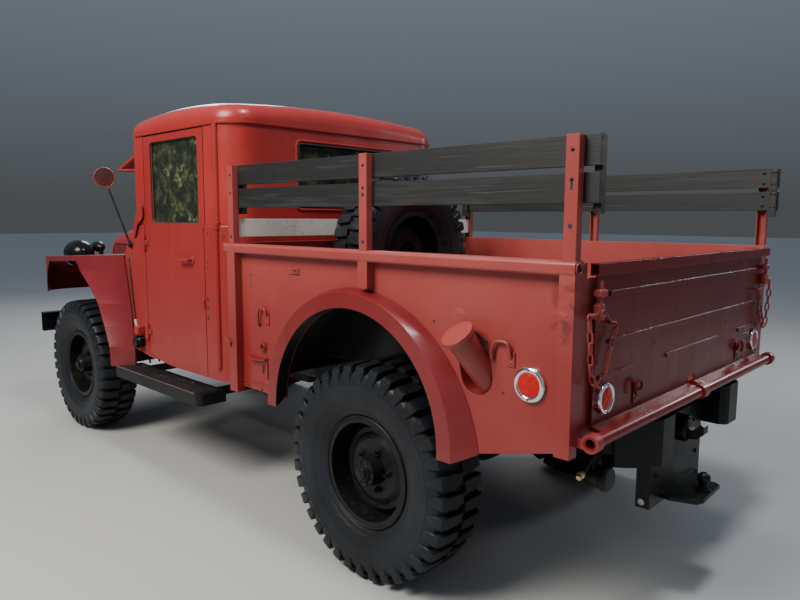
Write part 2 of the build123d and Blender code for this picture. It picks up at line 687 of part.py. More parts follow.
# The cowl's middle carries the hood's line on to the windshield.
cowl_dome = along(hood_section(HOOD_HALF[1], HOOD_TOP[1], 0), COWL_FRONT, WINDSHIELD_Y - SEAT_GAP)
cowl_inside = along(hood_section(HOOD_HALF[1], HOOD_TOP[1], HOOD_WALL), COWL_FRONT + CAB_WALL, WINDSHIELD_Y)
cowl_dome = (cowl_dome & above_edge) - cowl_inside
cab_body = cab_body + (cowl_dome - cab_inner)


def door_outline(gap):
    """The door's side view, larger by gap all round, with its big lower front corner."""
    low = DOOR_BOTTOM - gap
    curve = ThreePointArc((DOOR_REAR - 250, low), (DOOR_FRONT + 150, low + 12), (DOOR_FRONT - gap, low + 44))
    rest = Polyline(
        (DOOR_FRONT - gap, low + 44),
        (DOOR_FRONT - gap, DOOR_TOP + gap),
        (DOOR_REAR + gap, DOOR_TOP + gap),
        (DOOR_REAR + gap, low),
        (DOOR_REAR - 250, low),
    )
    return make_face(curve + rest)


door_space = across(door_outline(PANEL_GAP), CAB_HALF_WIDTH - DOOR_WALL - PANEL_GAP, CAB_HALF_WIDTH + 5)
cab_body = cab_body - both_sides(door_space)
DOOR_STOP = 30
door_way = (-CAB_HALF_WIDTH - 1, CAB_HALF_WIDTH + 1, DOOR_FRONT + DOOR_STOP, DOOR_REAR - DOOR_STOP)
cab_body = cab_body - block(*door_way, CAB_FLOOR[1], BELT_Z + 1)
# Door hinge pins stand on the cowl, and the hood's pins on its top edge.
HINGE_X = CAB_HALF_WIDTH + 6
HINGE_Y = DOOR_FRONT - PANEL_GAP / 2
DOOR_HINGES = (760, 1290)
hinge = 11
for z in DOOR_HINGES:
    cab_body = cab_body - both_sides(upward(circle(HINGE_X, HINGE_Y, hinge + 2), z - 17, z + 17))
    knuckles = upward(circle(HINGE_X, HINGE_Y, hinge), z - 45, z - 15 - SEAT_GAP)
    knuckles = knuckles + upward(circle(HINGE_X, HINGE_Y, hinge), z + 15 + SEAT_GAP, z + 45)
    knuckles = knuckles + upward(circle(HINGE_X, HINGE_Y, 5), z - 45, z + 45)
    for low in (z - 45, z + 15 + SEAT_GAP):
        high = low + 30 - SEAT_GAP
        knuckles = knuckles + block(CAB_HALF_WIDTH - 12, HINGE_X, HINGE_Y - 40, HINGE_Y, low, high)
    cab_body = cab_body + both_sides(knuckles)
for x, width in HOOD_KNUCKLES:
    left, right = x - width / 2, x + width / 2
    cab_body = cab_body - cross_tube(*HOOD_HINGE, hood_clear, left - 2, right + 2)
    cab_body = cab_body + cross_tube(*HOOD_HINGE, HOOD_PIN_RADIUS, left - HOOD_EAR, right + HOOD_EAR)
    for ear in ((left - HOOD_EAR, left - SEAT_GAP), (right + SEAT_GAP, right + HOOD_EAR)):
        cab_body = cab_body + cross_tube(*HOOD_HINGE, HOOD_KNUCKLE_RADIUS, *ear)
        cab_body = cab_body + block(*ear, HOOD_HINGE[0], COWL_FRONT + 30, *leaf_z)
save("cab_body", cab_body)

# Hardtop: walls, roof and rear wall in one, standing on the belt
TOP_HALF = CAB_HALF_WIDTH - 8
ROOF_FRONT = 694
ROOF_WALL = 26
ROOF_EDGE_Z = DOOR_TOP + 8
ROOF_ROUND = 85
ROOF_ACROSS_RADIUS = 7600
ROOF_ALONG_RADIUS = 4300
roof_middle = (ROOF_FRONT + CAB_REAR) / 2


def roof_dome(drop):
    """A barrel with a gentle crown both across and along the truck."""
    centre = ROOF_Z - ROOF_ALONG_RADIUS
    half = TOP_HALF + 60
    rise = ROOF_ACROSS_RADIUS - math.sqrt(ROOF_ACROSS_RADIUS**2 - half**2)
    edge_z = ROOF_Z - drop - rise
    crown = ThreePointArc((-half, edge_z), (0, ROOF_Z - drop), (half, edge_z))
    rest = Polyline((half, edge_z), (half, centre), (-half, centre), (-half, edge_z))
    face = Plane.XZ.offset(-roof_middle) * make_face(crown + rest)
    return revolve(face, Axis((0, roof_middle, centre), (1, 0, 0)))


def roof_solid(inset):
    face = rectangle(-TOP_HALF + inset, TOP_HALF - inset, ROOF_FRONT + inset, CAB_REAR - inset)
    rear = face.vertices().group_by(Axis.Y)[-1]
    front = face.vertices().group_by(Axis.Y)[0]
    face = fillet(rear, CAB_CORNER - inset)
    face = fillet(face.vertices().group_by(Axis.Y)[0], 90 - inset)
    solid = upward(face, ROOF_EDGE_Z - 1, ROOF_Z + 40) & roof_dome(inset)
    top = solid.faces().sort_by(Axis.Z)[-1]
    return fillet(top.edges(), ROOF_ROUND - inset)


walls = upward(cab_plan(WINDSHIELD_Y, TOP_HALF, 0), BELT_Z + SEAT_GAP, ROOF_EDGE_Z + 30)
walls = walls - upward(cab_plan(WINDSHIELD_Y, TOP_HALF, CAB_WALL), BELT_Z - 1, ROOF_EDGE_Z + 31)
roof = roof_solid(0) - roof_solid(ROOF_WALL)
cab_top = walls + roof
cab_top = cab_top - both_sides(door_space) - block(*door_way, BELT_Z - 1, DOOR_TOP - DOOR_STOP)
PANE_X = (24, 716)
PANE_Z = (BELT_Z + 30, DOOR_TOP - 42)
REAR_WINDOW = (360, BELT_Z + 105, DOOR_TOP - 65)
for side in (-1, 1):
    pane_hole = rectangle(*sorted((side * PANE_X[0], side * PANE_X[1])), *PANE_Z, 30)
    cab_top = cab_top - along(pane_hole, WINDSHIELD_Y - 5, WINDSHIELD_Y + CAB_WALL + 5)
REAR_WINDOW_ROUND = 15
rear_hole = rectangle(-REAR_WINDOW[0], REAR_WINDOW[0], REAR_WINDOW[1], REAR_WINDOW[2], REAR_WINDOW_ROUND)
cab_top = cab_top - along(rear_hole, CAB_REAR - CAB_WALL - 5, CAB_REAR + 5)
save("cab_top", cab_top)

# Windshield panes, hinged at the top and propped open
PANE_OPEN = 73
PANE_RIM = 26
PANE_DEPTH = 18
GLASS = 6
pane_gap = 5
pane_width = (PANE_X[0] + pane_gap, PANE_X[1] - pane_gap)
pane_height = PANE_Z[1] - PANE_Z[0] - 2 * pane_gap
pane_hinge = (WINDSHIELD_Y - PANE_DEPTH / 2 - 4, PANE_Z[1] + 6)


def pane(shape):
    """Swing a piece drawn hanging below the hinge at y = 0, z = 0 out to the open pane's place."""
    return Pos(0, *pane_hinge) * Rot(-PANE_OPEN, 0, 0) * shape


PANE_ROUND = 25


def pane_face(inset, radius):
    """A pane's front view below its hinge, pulled in by inset."""
    return rectangle(pane_width[0] + inset, pane_width[1] - inset, -pane_height + inset, -inset, radius)


rim_face = pane_face(0, PANE_ROUND) - pane_face(PANE_RIM, PANE_ROUND / 2)
rim = along(rim_face, -PANE_DEPTH / 2, PANE_DEPTH / 2)
pane_glass = along(pane_face(PANE_RIM + SEAT_GAP, PANE_ROUND / 2 - SEAT_GAP), -GLASS / 2, GLASS / 2)
swing = math.radians(PANE_OPEN)
foot = (pane_hinge[0] - pane_height * math.sin(swing), pane_hinge[1] - pane_height * math.cos(swing))
stay_x = pane_width[1] + 6
stay = rod((stay_x, foot[0] + 30, foot[1]), (stay_x, WINDSHIELD_Y - 3 * SEAT_GAP, foot[1] - 20), 7)
stay = stay + block(pane_width[1] - 20, stay_x + 4, foot[0] + 22, foot[0] + 40, foot[1] - 8, foot[1] + 12)
windshield = pane(rim) + stay
save("windshield_frames", both_sides(windshield))
GLASS_DEPTH = 24
rear_pane = rectangle(-REAR_WINDOW[0] + SEAT_GAP, REAR_WINDOW[0] - SEAT_GAP, REAR_WINDOW[1] + SEAT_GAP,
                      REAR_WINDOW[2] - SEAT_GAP, REAR_WINDOW_ROUND - SEAT_GAP)
rear_glass = along(rear_pane, CAB_REAR - GLASS_DEPTH, CAB_REAR - GLASS_DEPTH + GLASS)
save("window_glass", both_sides(pane(pane_glass)) + rear_glass)

# Doors
WINDOW_Y = (DOOR_FRONT + 78, DOOR_REAR - 58)
WINDOW_Z = (BELT_Z + 13, DOOR_TOP - 38)
door_face = door_outline(0)
door = across(door_face, CAB_HALF_WIDTH - DOOR_WALL, CAB_HALF_WIDTH)
WINDOW_ROUND = 22
window = rectangle(*WINDOW_Y, *WINDOW_Z, WINDOW_ROUND)
door = door - across(window, CAB_HALF_WIDTH - DOOR_WALL - 1, CAB_HALF_WIDTH + 1)
# Above the belt the door is thinner, in line with the hardtop.
door = door - block(TOP_HALF, CAB_HALF_WIDTH + 1, DOOR_FRONT - 1, DOOR_REAR + 1, BELT_Z, DOOR_TOP + 1)
for z in DOOR_HINGES:
    door = door - upward(circle(HINGE_X, HINGE_Y, hinge + 2), z - 47, z + 47)
    leaf = upward(circle(HINGE_X, HINGE_Y, hinge), z - 15, z + 15)
    leaf = leaf + block(CAB_HALF_WIDTH - 4, HINGE_X, HINGE_Y, HINGE_Y + 44, z - 15, z + 15)
    leaf = leaf - upward(circle(HINGE_X, HINGE_Y, 5 + RUNNING_GAP), z - 16, z + 16)
    door = door + leaf
HANDLE = (1419, 1213)
HANDLE_OUT = 28
handle_x = CAB_HALF_WIDTH + HANDLE_OUT
door = door + cross_tube(*HANDLE, 9, CAB_HALF_WIDTH - 2, handle_x + 6)
door = door + rod((handle_x, *HANDLE), (handle_x, HANDLE[0] - 112, HANDLE[1] - 8), 8)
door_pane = rectangle(WINDOW_Y[0] + SEAT_GAP, WINDOW_Y[1] - SEAT_GAP, WINDOW_Z[0] + SEAT_GAP,
                      WINDOW_Z[1] - SEAT_GAP, WINDOW_ROUND - SEAT_GAP)
door_glass = across(door_pane, TOP_HALF - GLASS_DEPTH, TOP_HALF - GLASS_DEPTH + GLASS)
save("door_left", door)
save("door_right", mirror(door, about=Plane.YZ))
save("door_glass_left", door_glass)
save("door_glass_right", mirror(door_glass, about=Plane.YZ))

# Seats and steering wheel
SEAT_X = (90, 640)
SEAT_REAR = 1600
cushion = outline(
    (1150, CAB_FLOOR[1]),
    (1150, 1010),
    (1180, 1050),
    (SEAT_REAR, 1020),
    (SEAT_REAR, CAB_FLOOR[1]),
)
back_foot = SEAT_REAR + SEAT_GAP
back = outline(
    (back_foot, 900),
    (back_foot, 1040),
    (SEAT_REAR - 80, 1080),
    (SEAT_REAR - 10, 1500),
    (SEAT_REAR + 60, 1500),
    (SEAT_REAR + 80, 900),
)
seats = across(cushion, *SEAT_X) + across(back, *SEAT_X)
seats = fillet(seats.edges().filter_by(Axis.X), 18)
save("seats", both_sides(seats))
COLUMN_X = 365
WHEEL_CENTRE = (COLUMN_X, 1080, 1330)
column_foot = (COLUMN_X, COWL_FRONT + CAB_WALL + 12, 960)
column_path = Vector(*WHEEL_CENTRE) - Vector(*column_foot)
column_plane = Plane(WHEEL_CENTRE, z_dir=column_path)
STEERING_RADIUS = 218
steering = rod(column_foot, WHEEL_CENTRE, 22)
steering = steering & block(0, 800, COWL_FRONT + CAB_WALL + SEAT_GAP, 2000, 0, 2000)
steering = steering + along(circle(column_foot[0], column_foot[2], 44), COWL_FRONT + CAB_WALL + SEAT_GAP,
                            COWL_FRONT + CAB_WALL + 22)
steering = steering + column_plane * Torus(STEERING_RADIUS, 13)
spoke = Pos(STEERING_RADIUS / 2, 0, 0) * Box(STEERING_RADIUS, 20, 9)
for turn in (90, 210, 330):
    steering = steering + column_plane * Rot(0, 0, turn) * spoke
save("steering_wheel", steering)

# Running boards
BOARD = (742, 905)
BOARD_Y = (640, 1623)
BOARD_SKIRT = 62
BOARD_SHEET = 5
BOARD_CORNER = 40
# Brackets: middle along the truck
BOARD_BRACKETS = [760, 1540]
BRACKET_HALF = 25


def board_plan(inset):
    """The running board's plan with its round outer corner, its outer edges pulled in by inset."""
    face = rectangle(BOARD[0] - inset, BOARD[1] - inset, BOARD_Y[0] + inset, BOARD_Y[1] - inset)
    corner = face.vertices().group_by(Axis.Y)[-1].sort_by(Axis.X)[-1]
    return fillet(corner, BOARD_CORNER - inset)


board = upward(board_plan(0), BOARD_Z - BOARD_SKIRT, BOARD_Z)
board = board - upward(board_plan(BOARD_SHEET), BOARD_Z - BOARD_SKIRT - 1, BOARD_Z - BOARD_SHEET)
for y in BOARD_BRACKETS:
    run = (y - BRACKET_HALF, y + BRACKET_HALF)
    foot = FRAME_HALF_WIDTH + SEAT_GAP
    board = board + block(foot, BOARD[0] + 10, *run, BOARD_Z - 40, BOARD_Z - BOARD_SHEET)
    board = board + block(foot, foot + 8, *run, BOARD_Z - 40, FRAME_TOP - 50)
save("running_boards", both_sides(board))

# Mirrors on long arms from the cowl
MIRROR = (902, 590, 1674)
MIRROR_FOOT = (700, 1270)
arm = rod((CAB_HALF_WIDTH + 9, *MIRROR_FOOT), MIRROR, 6)
arm = arm + rod((CAB_HALF_WIDTH + SEAT_GAP, *MIRROR_FOOT), (CAB_HALF_WIDTH + 14, *MIRROR_FOOT), 16)
mirror_head = Pos(*MIRROR) * Rot(0, 0, -14) * Rot(90, 0, 0) * Cylinder(63, 26)
mirror_head = fillet(mirror_head.edges(), 9)
save("mirrors", both_sides(arm + mirror_head))

# Cargo bed
BED_SKIN = 6
BED_FLOOR_WALL = 15
SIDE_LOW_FRONT = 636
SIDE_LOW_REAR = 731
SIDE_LOW_ARCH = 619
SIDE_LOW_END = BED_REAR - 51
ARCH_Y = WHEELBASE - 48
ARCH_Z = 630
WELL_RADIUS = ARCH_RADIUS + 40
WELL_X = 622
RAIL_OUT = 42
RAIL_HEIGHT = 45
RAIL_EDGE_ROUND = 14
RAIL_END_ROUND = 30
POST_OUT = 38
inside = BED_HALF_WIDTH - BED_SKIN
side = outline(
    (BED_FRONT, SIDE_LOW_FRONT),
    (ARCH_Y, SIDE_LOW_FRONT),
    (ARCH_Y + ARCH_RADIUS, SIDE_LOW_ARCH),
    (SIDE_LOW_END, SIDE_LOW_REAR),
    (BED_REAR, SIDE_LOW_REAR),
    (BED_REAR, BED_RAIL_Z),
    (BED_FRONT, BED_RAIL_Z),
) - circle(ARCH_Y, ARCH_Z, ARCH_RADIUS)
bed_side = across(side, inside, BED_HALF_WIDTH)
rail_z = (BED_RAIL_Z - RAIL_HEIGHT, BED_RAIL_Z)
rail_face = rectangle(inside, BED_HALF_WIDTH + RAIL_OUT, *rail_z)
rail_face = fillet(rail_face.vertices().group_by(Axis.X)[-1], RAIL_EDGE_ROUND)
rail_plan = rectangle(inside, BED_HALF_WIDTH + RAIL_OUT, BED_RAIL_FRONT, BED_REAR)
rail_corner = rail_plan.vertices().group_by(Axis.Y)[0].sort_by(Axis.X)[-1]
rail_plan = fillet(rail_corner, RAIL_END_ROUND)
bed_side = bed_side + (along(rail_face, BED_RAIL_FRONT, BED_REAR) & upward(rail_plan, *rail_z))

# Stakes stand in pockets: the stake's middle along the truck, the pocket's foot, and its
# walls before and behind the stake
STAKE = (42, 30)
STAKE_WALL = 4
STAKE_X = (BED_HALF_WIDTH + 5, BED_HALF_WIDTH + 5 + STAKE[1])
STAKE_LOW = 1190
POCKET_TOP = BED_RAIL_Z - 10
POCKETS = [
    (BED_FRONT + 35, 613, 14, 7),
    (WHEELBASE + 23, 1176, 5, 5),
    (BED_REAR - 24, SIDE_LOW_REAR, 7, 3),
]
for y, low, before, behind in POCKETS:
    run = (y - STAKE[0] / 2 - before, y + STAKE[0] / 2 + behind)
    bed_side = bed_side + block(inside, BED_HALF_WIDTH + POST_OUT, *run, low, POCKET_TOP)
for y, low, before, behind in POCKETS:
    run = (y - STAKE[0] / 2 - SEAT_GAP, y + STAKE[0] / 2 + SEAT_GAP)
    bed_side = bed_side - block(STAKE_X[0] - SEAT_GAP, STAKE_X[1] + SEAT_GAP, *run, STAKE_LOW - SEAT_GAP,
                                BED_RAIL_Z + 1)
# The rear post turns in behind the tailgate: a narrow face, a step forward and a flange
POST_FACE_X = BED_HALF_WIDTH - 23.5
POST_STEP = 37
FLANGE_X = BED_HALF_WIDTH - 89.5
post_z = (BED_FLOOR_Z - 1, POCKET_TOP)
step_y = BED_REAR - POST_STEP
bed_side = bed_side + block(POST_FACE_X, inside + 1, BED_REAR - BED_SKIN, BED_REAR, *post_z)
bed_side = bed_side + block(POST_FACE_X, POST_FACE_X + BED_SKIN, step_y, BED_REAR, *post_z)
bed_side = bed_side + block(FLANGE_X, POST_FACE_X + BED_SKIN, step_y, step_y + BED_SKIN, *post_z)
# Wheel house inside the bed
WELL_REACH = 600
well_space = rectangle(ARCH_Y - WELL_REACH, ARCH_Y + WELL_REACH, BED_FLOOR_Z - BED_FLOOR_WALL, 1300)
arch = circle(ARCH_Y, ARCH_Z, WELL_RADIUS + BED_SKIN) & well_space
hollow = circle(ARCH_Y, ARCH_Z, WELL_RADIUS)
well = across(arch, WELL_X, inside + 1) - across(hollow, WELL_X + BED_SKIN, inside + 2)
floor = block(-inside, inside, BED_FRONT, BED_REAR - 1, BED_FLOOR_Z - BED_FLOOR_WALL, BED_FLOOR_Z)
floor = floor - both_sides(across(hollow, WELL_X + BED_SKIN, inside + 1))
front_wall = block(-inside, inside, BED_FRONT, BED_FRONT + BED_SKIN, FRAME_TOP, BED_RAIL_Z)
front_wall = front_wall + block(-inside, inside, BED_RAIL_FRONT, BED_FRONT + 1, *rail_z)
REAR_SILL_DEPTH = 50
rear_sill = block(-inside, inside, BED_REAR - 60, BED_REAR, BED_FLOOR_Z - REAR_SILL_DEPTH, BED_FLOOR_Z - 1)
# Cross sills on the frame: middle along the truck, half length
SILL_HALF = 30
SILLS = [
    (BED_FRONT + SILL_HALF + 5, 850),
    (BED_FRONT + 295, 850),
    (WHEELBASE - 245, 590),
    (WHEELBASE + 135, 590),
    (WHEELBASE + 535, 590),
]
bed = both_sides(bed_side + well) + floor + front_wall + rear_sill
for y, half in SILLS:
    bed = bed + block(-half, half, y - SILL_HALF, y + SILL_HALF, FRAME_TOP, BED_FLOOR_Z - BED_FLOOR_WALL + 1)

# The left side is sunk in an oval pocket for the fuel filler. It leans forward at its top.
FILLER_POCKET = (WHEELBASE + 530, 960)
FILLER_OVAL = (215, 130)
FILLER_LEAN = 14
FILLER_DEPTH = 70
FILLER_WALL = 4


def filler_oval(grow):
    """The pocket's side view, larger by grow all round."""
    face = SlotOverall(FILLER_OVAL[0] + 2 * grow, FILLER_OVAL[1] + 2 * grow)
    return Pos(*FILLER_POCKET) * Rot(0, 0, 90 + FILLER_LEAN) * face


filler_back = inside - FILLER_DEPTH
filler_space = across(filler_oval(0), filler_back, BED_HALF_WIDTH + 1)
bucket = across(filler_oval(FILLER_WALL), filler_back - FILLER_WALL, inside + 1)
bed = (bed + bucket) - filler_space

# Tailgate hinge: a tube on the tailgate turns in three knuckles on the bed's rear sill.
TAIL_HINGE = (BED_REAR + 49, 785)
TAIL_TUBE = 21
TAIL_TUBE_WALL = 6
TAIL_SKIN = 5
KNUCKLE_WALL = 8
# Knuckles: middle across the truck, width
KNUCKLES = [(-858, 34), (0, 46), (858, 34)]
for x, width in KNUCKLES:
    run = (x - width / 2, x + width / 2)
    ring = cross_tube(*TAIL_HINGE, TAIL_TUBE + KNUCKLE_WALL, *run)
    ring = ring + block(*run, BED_REAR - 1, TAIL_HINGE[0], TAIL_HINGE[1] - 20, TAIL_HINGE[1] + 8)
    bed = bed + ring - cross_tube(*TAIL_HINGE, TAIL_TUBE + RUNNING_GAP, x - width, x + width)
save("cargo_bed", bed)

# Rear fenders: a flared arch, widest where it meets the side, with a flat lip round the wheel
FENDER_BAND = 62
FLARE_RADIUS = 612
FLARE_Z = 558
# Heights of the flare's foot at the side and at the lip
FLARE_LOW = (651, 612)
seam_x = BED_HALF_WIDTH + SEAT_GAP
seam_face = Plane.YZ.offset(seam_x) * circle(ARCH_Y, FLARE_Z, FLARE_RADIUS)
lip_face = Plane.YZ.offset(FENDER_HALF_WIDTH) * circle(ARCH_Y, ARCH_Z, ARCH_RADIUS + FENDER_BAND)
above_foot = outline(
    (seam_x, FLARE_LOW[0]),
    (FENDER_HALF_WIDTH, FLARE_LOW[1]),
    (FENDER_HALF_WIDTH, BED_RAIL_Z),
    (seam_x, BED_RAIL_Z),
)
rear_fender = loft([seam_face, lip_face], ruled=True)
rear_fender = rear_fender & along(above_foot, ARCH_Y - FLARE_RADIUS - 1, ARCH_Y + FLARE_RADIUS + 1)
rear_fender = rear_fender - cross_tube(ARCH_Y, ARCH_Z, ARCH_RADIUS, BED_HALF_WIDTH, FENDER_HALF_WIDTH + 1)
save("rear_fenders", both_sides(rear_fender))

# Fuel filler: a slanted neck out of the oval pocket, with a round cap
FILLER_CAP = (BED_HALF_WIDTH + 75.5, FILLER_POCKET[0] - 8, 1060)
FILLER_AXIS = (0.6, -0.2, 0.8)
FILLER_NECK_RADIUS = 48
FILLER_CAP_RADIUS = 58
FILLER_CAP_DEPTH = 14
cap_plane = Plane(FILLER_CAP, z_dir=FILLER_AXIS)
neck = extrude(cap_plane * Circle(FILLER_NECK_RADIUS), -4 * FILLER_DEPTH)
neck_inside = neck & across(filler_oval(-SEAT_GAP), filler_back + SEAT_GAP, seam_x)
neck_outside = neck - block(0, seam_x, BED_FRONT, BED_REAR, FRAME_TOP - 100, BED_RAIL_Z)
filler = neck_inside + neck_outside + extrude(cap_plane * Circle(FILLER_CAP_RADIUS), FILLER_CAP_DEPTH)
save("fuel_filler", filler)

# Rack: stakes, side boards and one board across the front
stake_face = rectangle(0, STAKE[1], 0, STAKE[0])
stake_face = stake_face - rectangle(-1, STAKE[1] - STAKE_WALL, STAKE_WALL, STAKE[0] - STAKE_WALL)
stakes = joined(
    upward(Pos(STAKE_X[0], row[0] - STAKE[0] / 2) * stake_face, STAKE_LOW, RACK_Z) for row in POCKETS
)
save("stakes", both_sides(stakes))
BOARD_THICK = 21
BOARD_RUN = (POCKETS[0][0] - STAKE[0] / 2, BED_REAR + 47)
# Side boards: bottom, top
BOARDS = [(1485, 1572), (1590, RACK_Z)]
# Cleats that join both boards on their inside: front, rear
CLEATS = [(BOARD_RUN[0] + 8, BOARD_RUN[0] + 50), (BOARD_RUN[1] - 28, BOARD_RUN[1] - 3)]
CLEAT_Z = (1456, 1674)
board_x = STAKE_X[0] - SEAT_GAP
boards = [block(board_x - BOARD_THICK, board_x, *BOARD_RUN, *z) for z in BOARDS]
boards += [block(board_x - 2 * BOARD_THICK, board_x - BOARD_THICK + 1, *run, *CLEAT_Z) for run in CLEATS]
save("side_boards", both_sides(joined(boards)))
front_board = block(-board_x, board_x, *FRONT_BOARD_Y, 1350, 1435)
save("front_board", front_board)

# Tailgate
TAIL_FRONT = BED_REAR + PANEL_GAP
TAIL_HALF = BED_HALF_WIDTH - 72.5
TAIL_TOP = 1312
TAIL_RAIL_HALF = BED_HALF_WIDTH - 39.5
TAIL_RAIL = (30, 36)
TAIL_RAIL_WALL = 4
TAIL_TUBE_HALF = BED_HALF_WIDTH + 4.5
skin_out = TAIL_FRONT + TAIL_SKIN
tail_low = TAIL_HINGE[1] + 14
tailgate = block(-TAIL_HALF, TAIL_HALF, TAIL_FRONT, skin_out, tail_low, TAIL_TOP)
rail_back = TAIL_FRONT + TAIL_RAIL[0]
top_rail = block(-TAIL_RAIL_HALF, TAIL_RAIL_HALF, TAIL_FRONT, rail_back, TAIL_TOP - TAIL_RAIL[1], TAIL_TOP)
top_rail = top_rail - block(-TAIL_RAIL_HALF - 1, TAIL_RAIL_HALF + 1, skin_out, rail_back - TAIL_RAIL_WALL,
                            TAIL_TOP - TAIL_RAIL[1] + TAIL_RAIL_WALL, TAIL_TOP - TAIL_RAIL_WALL)
tube = cross_tube(*TAIL_HINGE, TAIL_TUBE, -TAIL_TUBE_HALF, TAIL_TUBE_HALF)
tube = tube - cross_tube(*TAIL_HINGE, TAIL_TUBE - TAIL_TUBE_WALL, -TAIL_TUBE_HALF - 1, TAIL_TUBE_HALF + 1)
foot_flange = outline(
    (TAIL_FRONT, tail_low),
    (skin_out, tail_low + 14),
    (TAIL_HINGE[0] + 4, TAIL_HINGE[1] + TAIL_TUBE - 1),
    (TAIL_HINGE[0] - 14, tail_low - 1),
)
foot_flange = across(foot_flange, -TAIL_HALF, TAIL_HALF)
foot_flange = foot_flange - cross_tube(*TAIL_HINGE, TAIL_TUBE - 3, -TAIL_TUBE_HALF, TAIL_TUBE_HALF)
tailgate = tailgate + top_rail + foot_flange
# Beads pressed in the skin: left end, right end, height
BEAD_WIDTH = 16
BEAD_HEIGHT = 6
BEADS = [(-717, 717, 1214), (-717, 717, 1065), (-265, 265, 957), (512, 768, 957), (-768, -512, 957)]
for left, right, z in BEADS:
    bead = rectangle(left, right, z - BEAD_WIDTH / 2, z + BEAD_WIDTH / 2, BEAD_WIDTH / 2 - 0.5)
    tailgate = tailgate + along(bead, skin_out - 1, skin_out + BEAD_HEIGHT)
for x, width in KNUCKLES:
    notch = width / 2 + 5
    tailgate = tailgate - block(x - notch, x + notch, BED_REAR, TAIL_HINGE[0] + 60, TAIL_HINGE[1] - 40,
                                TAIL_HINGE[1] + 55)
save("tailgate", tailgate + tube)

# Round reflectors with a ring, on the sides and on the tailgate
REFLECTOR_DEPTH = 8
side_reflector = cross_tube(BED_REAR - 162, 927, 56, seam_x, seam_x + REFLECTOR_DEPTH)
save("side_reflectors", both_sides(side_reflector))
tail_reflector = along(circle(728, 890, 50), skin_out + SEAT_GAP, skin_out + SEAT_GAP + REFLECTOR_DEPTH)
save("tailgate_reflectors", both_sides(tail_reflector))

# A safety chain hangs in a loop at each end of the tailgate, from the latch's eye down and
# back up to a hook on the skin. Each link is a flat ring, turned a quarter from the last,
# and the links are fused. Chain points: x, z
CHAIN = [(872, 1164), (866, 1100), (855, 1010), (838, 952), (806, 940), (775, 975), (742, 1046), (706, 1126)]
CHAIN_Y = skin_out + 20
LINK = (64, 26)
LINK_WIRE = 7
link_face = rectangle(-LINK[0] / 2, LINK[0] / 2, -LINK[1] / 2, LINK[1] / 2)
link_face = link_face - rectangle(-LINK[0] / 2 + LINK_WIRE, LINK[0] / 2 - LINK_WIRE,
                                  -LINK[1] / 2 + LINK_WIRE, LINK[1] / 2 - LINK_WIRE)
link = extrude(link_face, LINK_WIRE / 2, both=True)
link_pitch = LINK[0] - 2 * LINK_WIRE + 3
chain_path = Spline(*[(x, CHAIN_Y, z) for x, z in CHAIN])
link_count = int(chain_path.length / link_pitch)
links = []
for i in range(link_count):
    share = (i + 0.5) * link_pitch / chain_path.length
    forward = chain_path % share
    flat = Plane(chain_path @ share, x_dir=forward, z_dir=Vector(0, 1, 0))
    links.append(flat * Rot(90 * (i % 2), 0, 0) * link)
# The latch: an upright rod in a square block, which the chain's upper end hangs from
LATCH_X = TAIL_HALF + 9
LATCH_Z = (1150, 1262)
LATCH_BLOCK_Z = (1210, 1238)
latch_y = skin_out + SEAT_GAP
latch = rod((LATCH_X, CHAIN_Y, LATCH_Z[0]), (LATCH_X, CHAIN_Y, LATCH_Z[1]), 6)
latch = latch + block(TAIL_HALF - 17, LATCH_X + 20, latch_y, CHAIN_Y + 14, *LATCH_BLOCK_Z)
latch = latch + block(LATCH_X, CHAIN[0][0] + 5, CHAIN_Y - 4, CHAIN_Y + 4, CHAIN[0][1] - 6, CHAIN[0][1] + 4)
hook_x, hook_z = CHAIN[-1]
chain_hook = block(hook_x - 6, hook_x + 6, latch_y, CHAIN_Y + 4, hook_z - 6, hook_z + 6)
save("tailgate_chains", both_sides(joined([latch, chain_hook, *links])))

# Hitch: a dropped channel with a tongue plate and ball, and a towing hook above
HITCH_HALF = 245
HITCH_Z = (357, 690)
HITCH_FRONT = RAIL_REAR + 25
HITCH_BACK = HITCH_FRONT + 55
HITCH_WALL = 10
HITCH_PIN = (HITCH_FRONT + 25, 382)
HITCH_PIN_RADIUS = 8
channel = block(-HITCH_HALF, HITCH_HALF, HITCH_FRONT, HITCH_BACK, *HITCH_Z)
channel = channel - block(-HITCH_HALF + HITCH_WALL, HITCH_HALF - HITCH_WALL, HITCH_FRONT - 1,
                          HITCH_BACK - HITCH_WALL, HITCH_Z[0] - 1, HITCH_Z[1] + 1)
channel = channel - cross_tube(*HITCH_PIN, HITCH_PIN_RADIUS, -HITCH_HALF - 1, HITCH_HALF + 1)
# Spacers carry the channel on the frame's last crossmember.
spacer = block(HITCH_HALF - 60, HITCH_HALF - HITCH_WALL + 1, RAIL_REAR + SEAT_GAP,
               HITCH_BACK - HITCH_WALL + 1, 620, 680)
channel = channel + both_sides(spacer)
TONGUE_Z = (382, 396)
tail_end = WHEELBASE + REAR_OVERHANG
tongue = outline(
    (157, HITCH_BACK - 1),
    (163, HITCH_BACK + 40),
    (130, tail_end - 13),
    (95, tail_end),
    (-95, tail_end - 7),
    (-113, tail_end - 32),
    (-92, HITCH_BACK + 62),
    (-208, HITCH_BACK + 10),
    (-208, HITCH_BACK - 1),
)
hitch = channel + upward(tongue, *TONGUE_Z)
BALL_RADIUS = 25
BALL_STEM = 17
BALL = (0, tail_end - 37, 443)
ball_foot = (BALL[0], BALL[1], TONGUE_Z[1] - 1)
hitch = hitch + rod(ball_foot, BALL, BALL_STEM) + Pos(*BALL) * Sphere(BALL_RADIUS)
hitch = hitch + rod(ball_foot, (BALL[0], BALL[1], TONGUE_Z[1] + 10), BALL_STEM + 13)
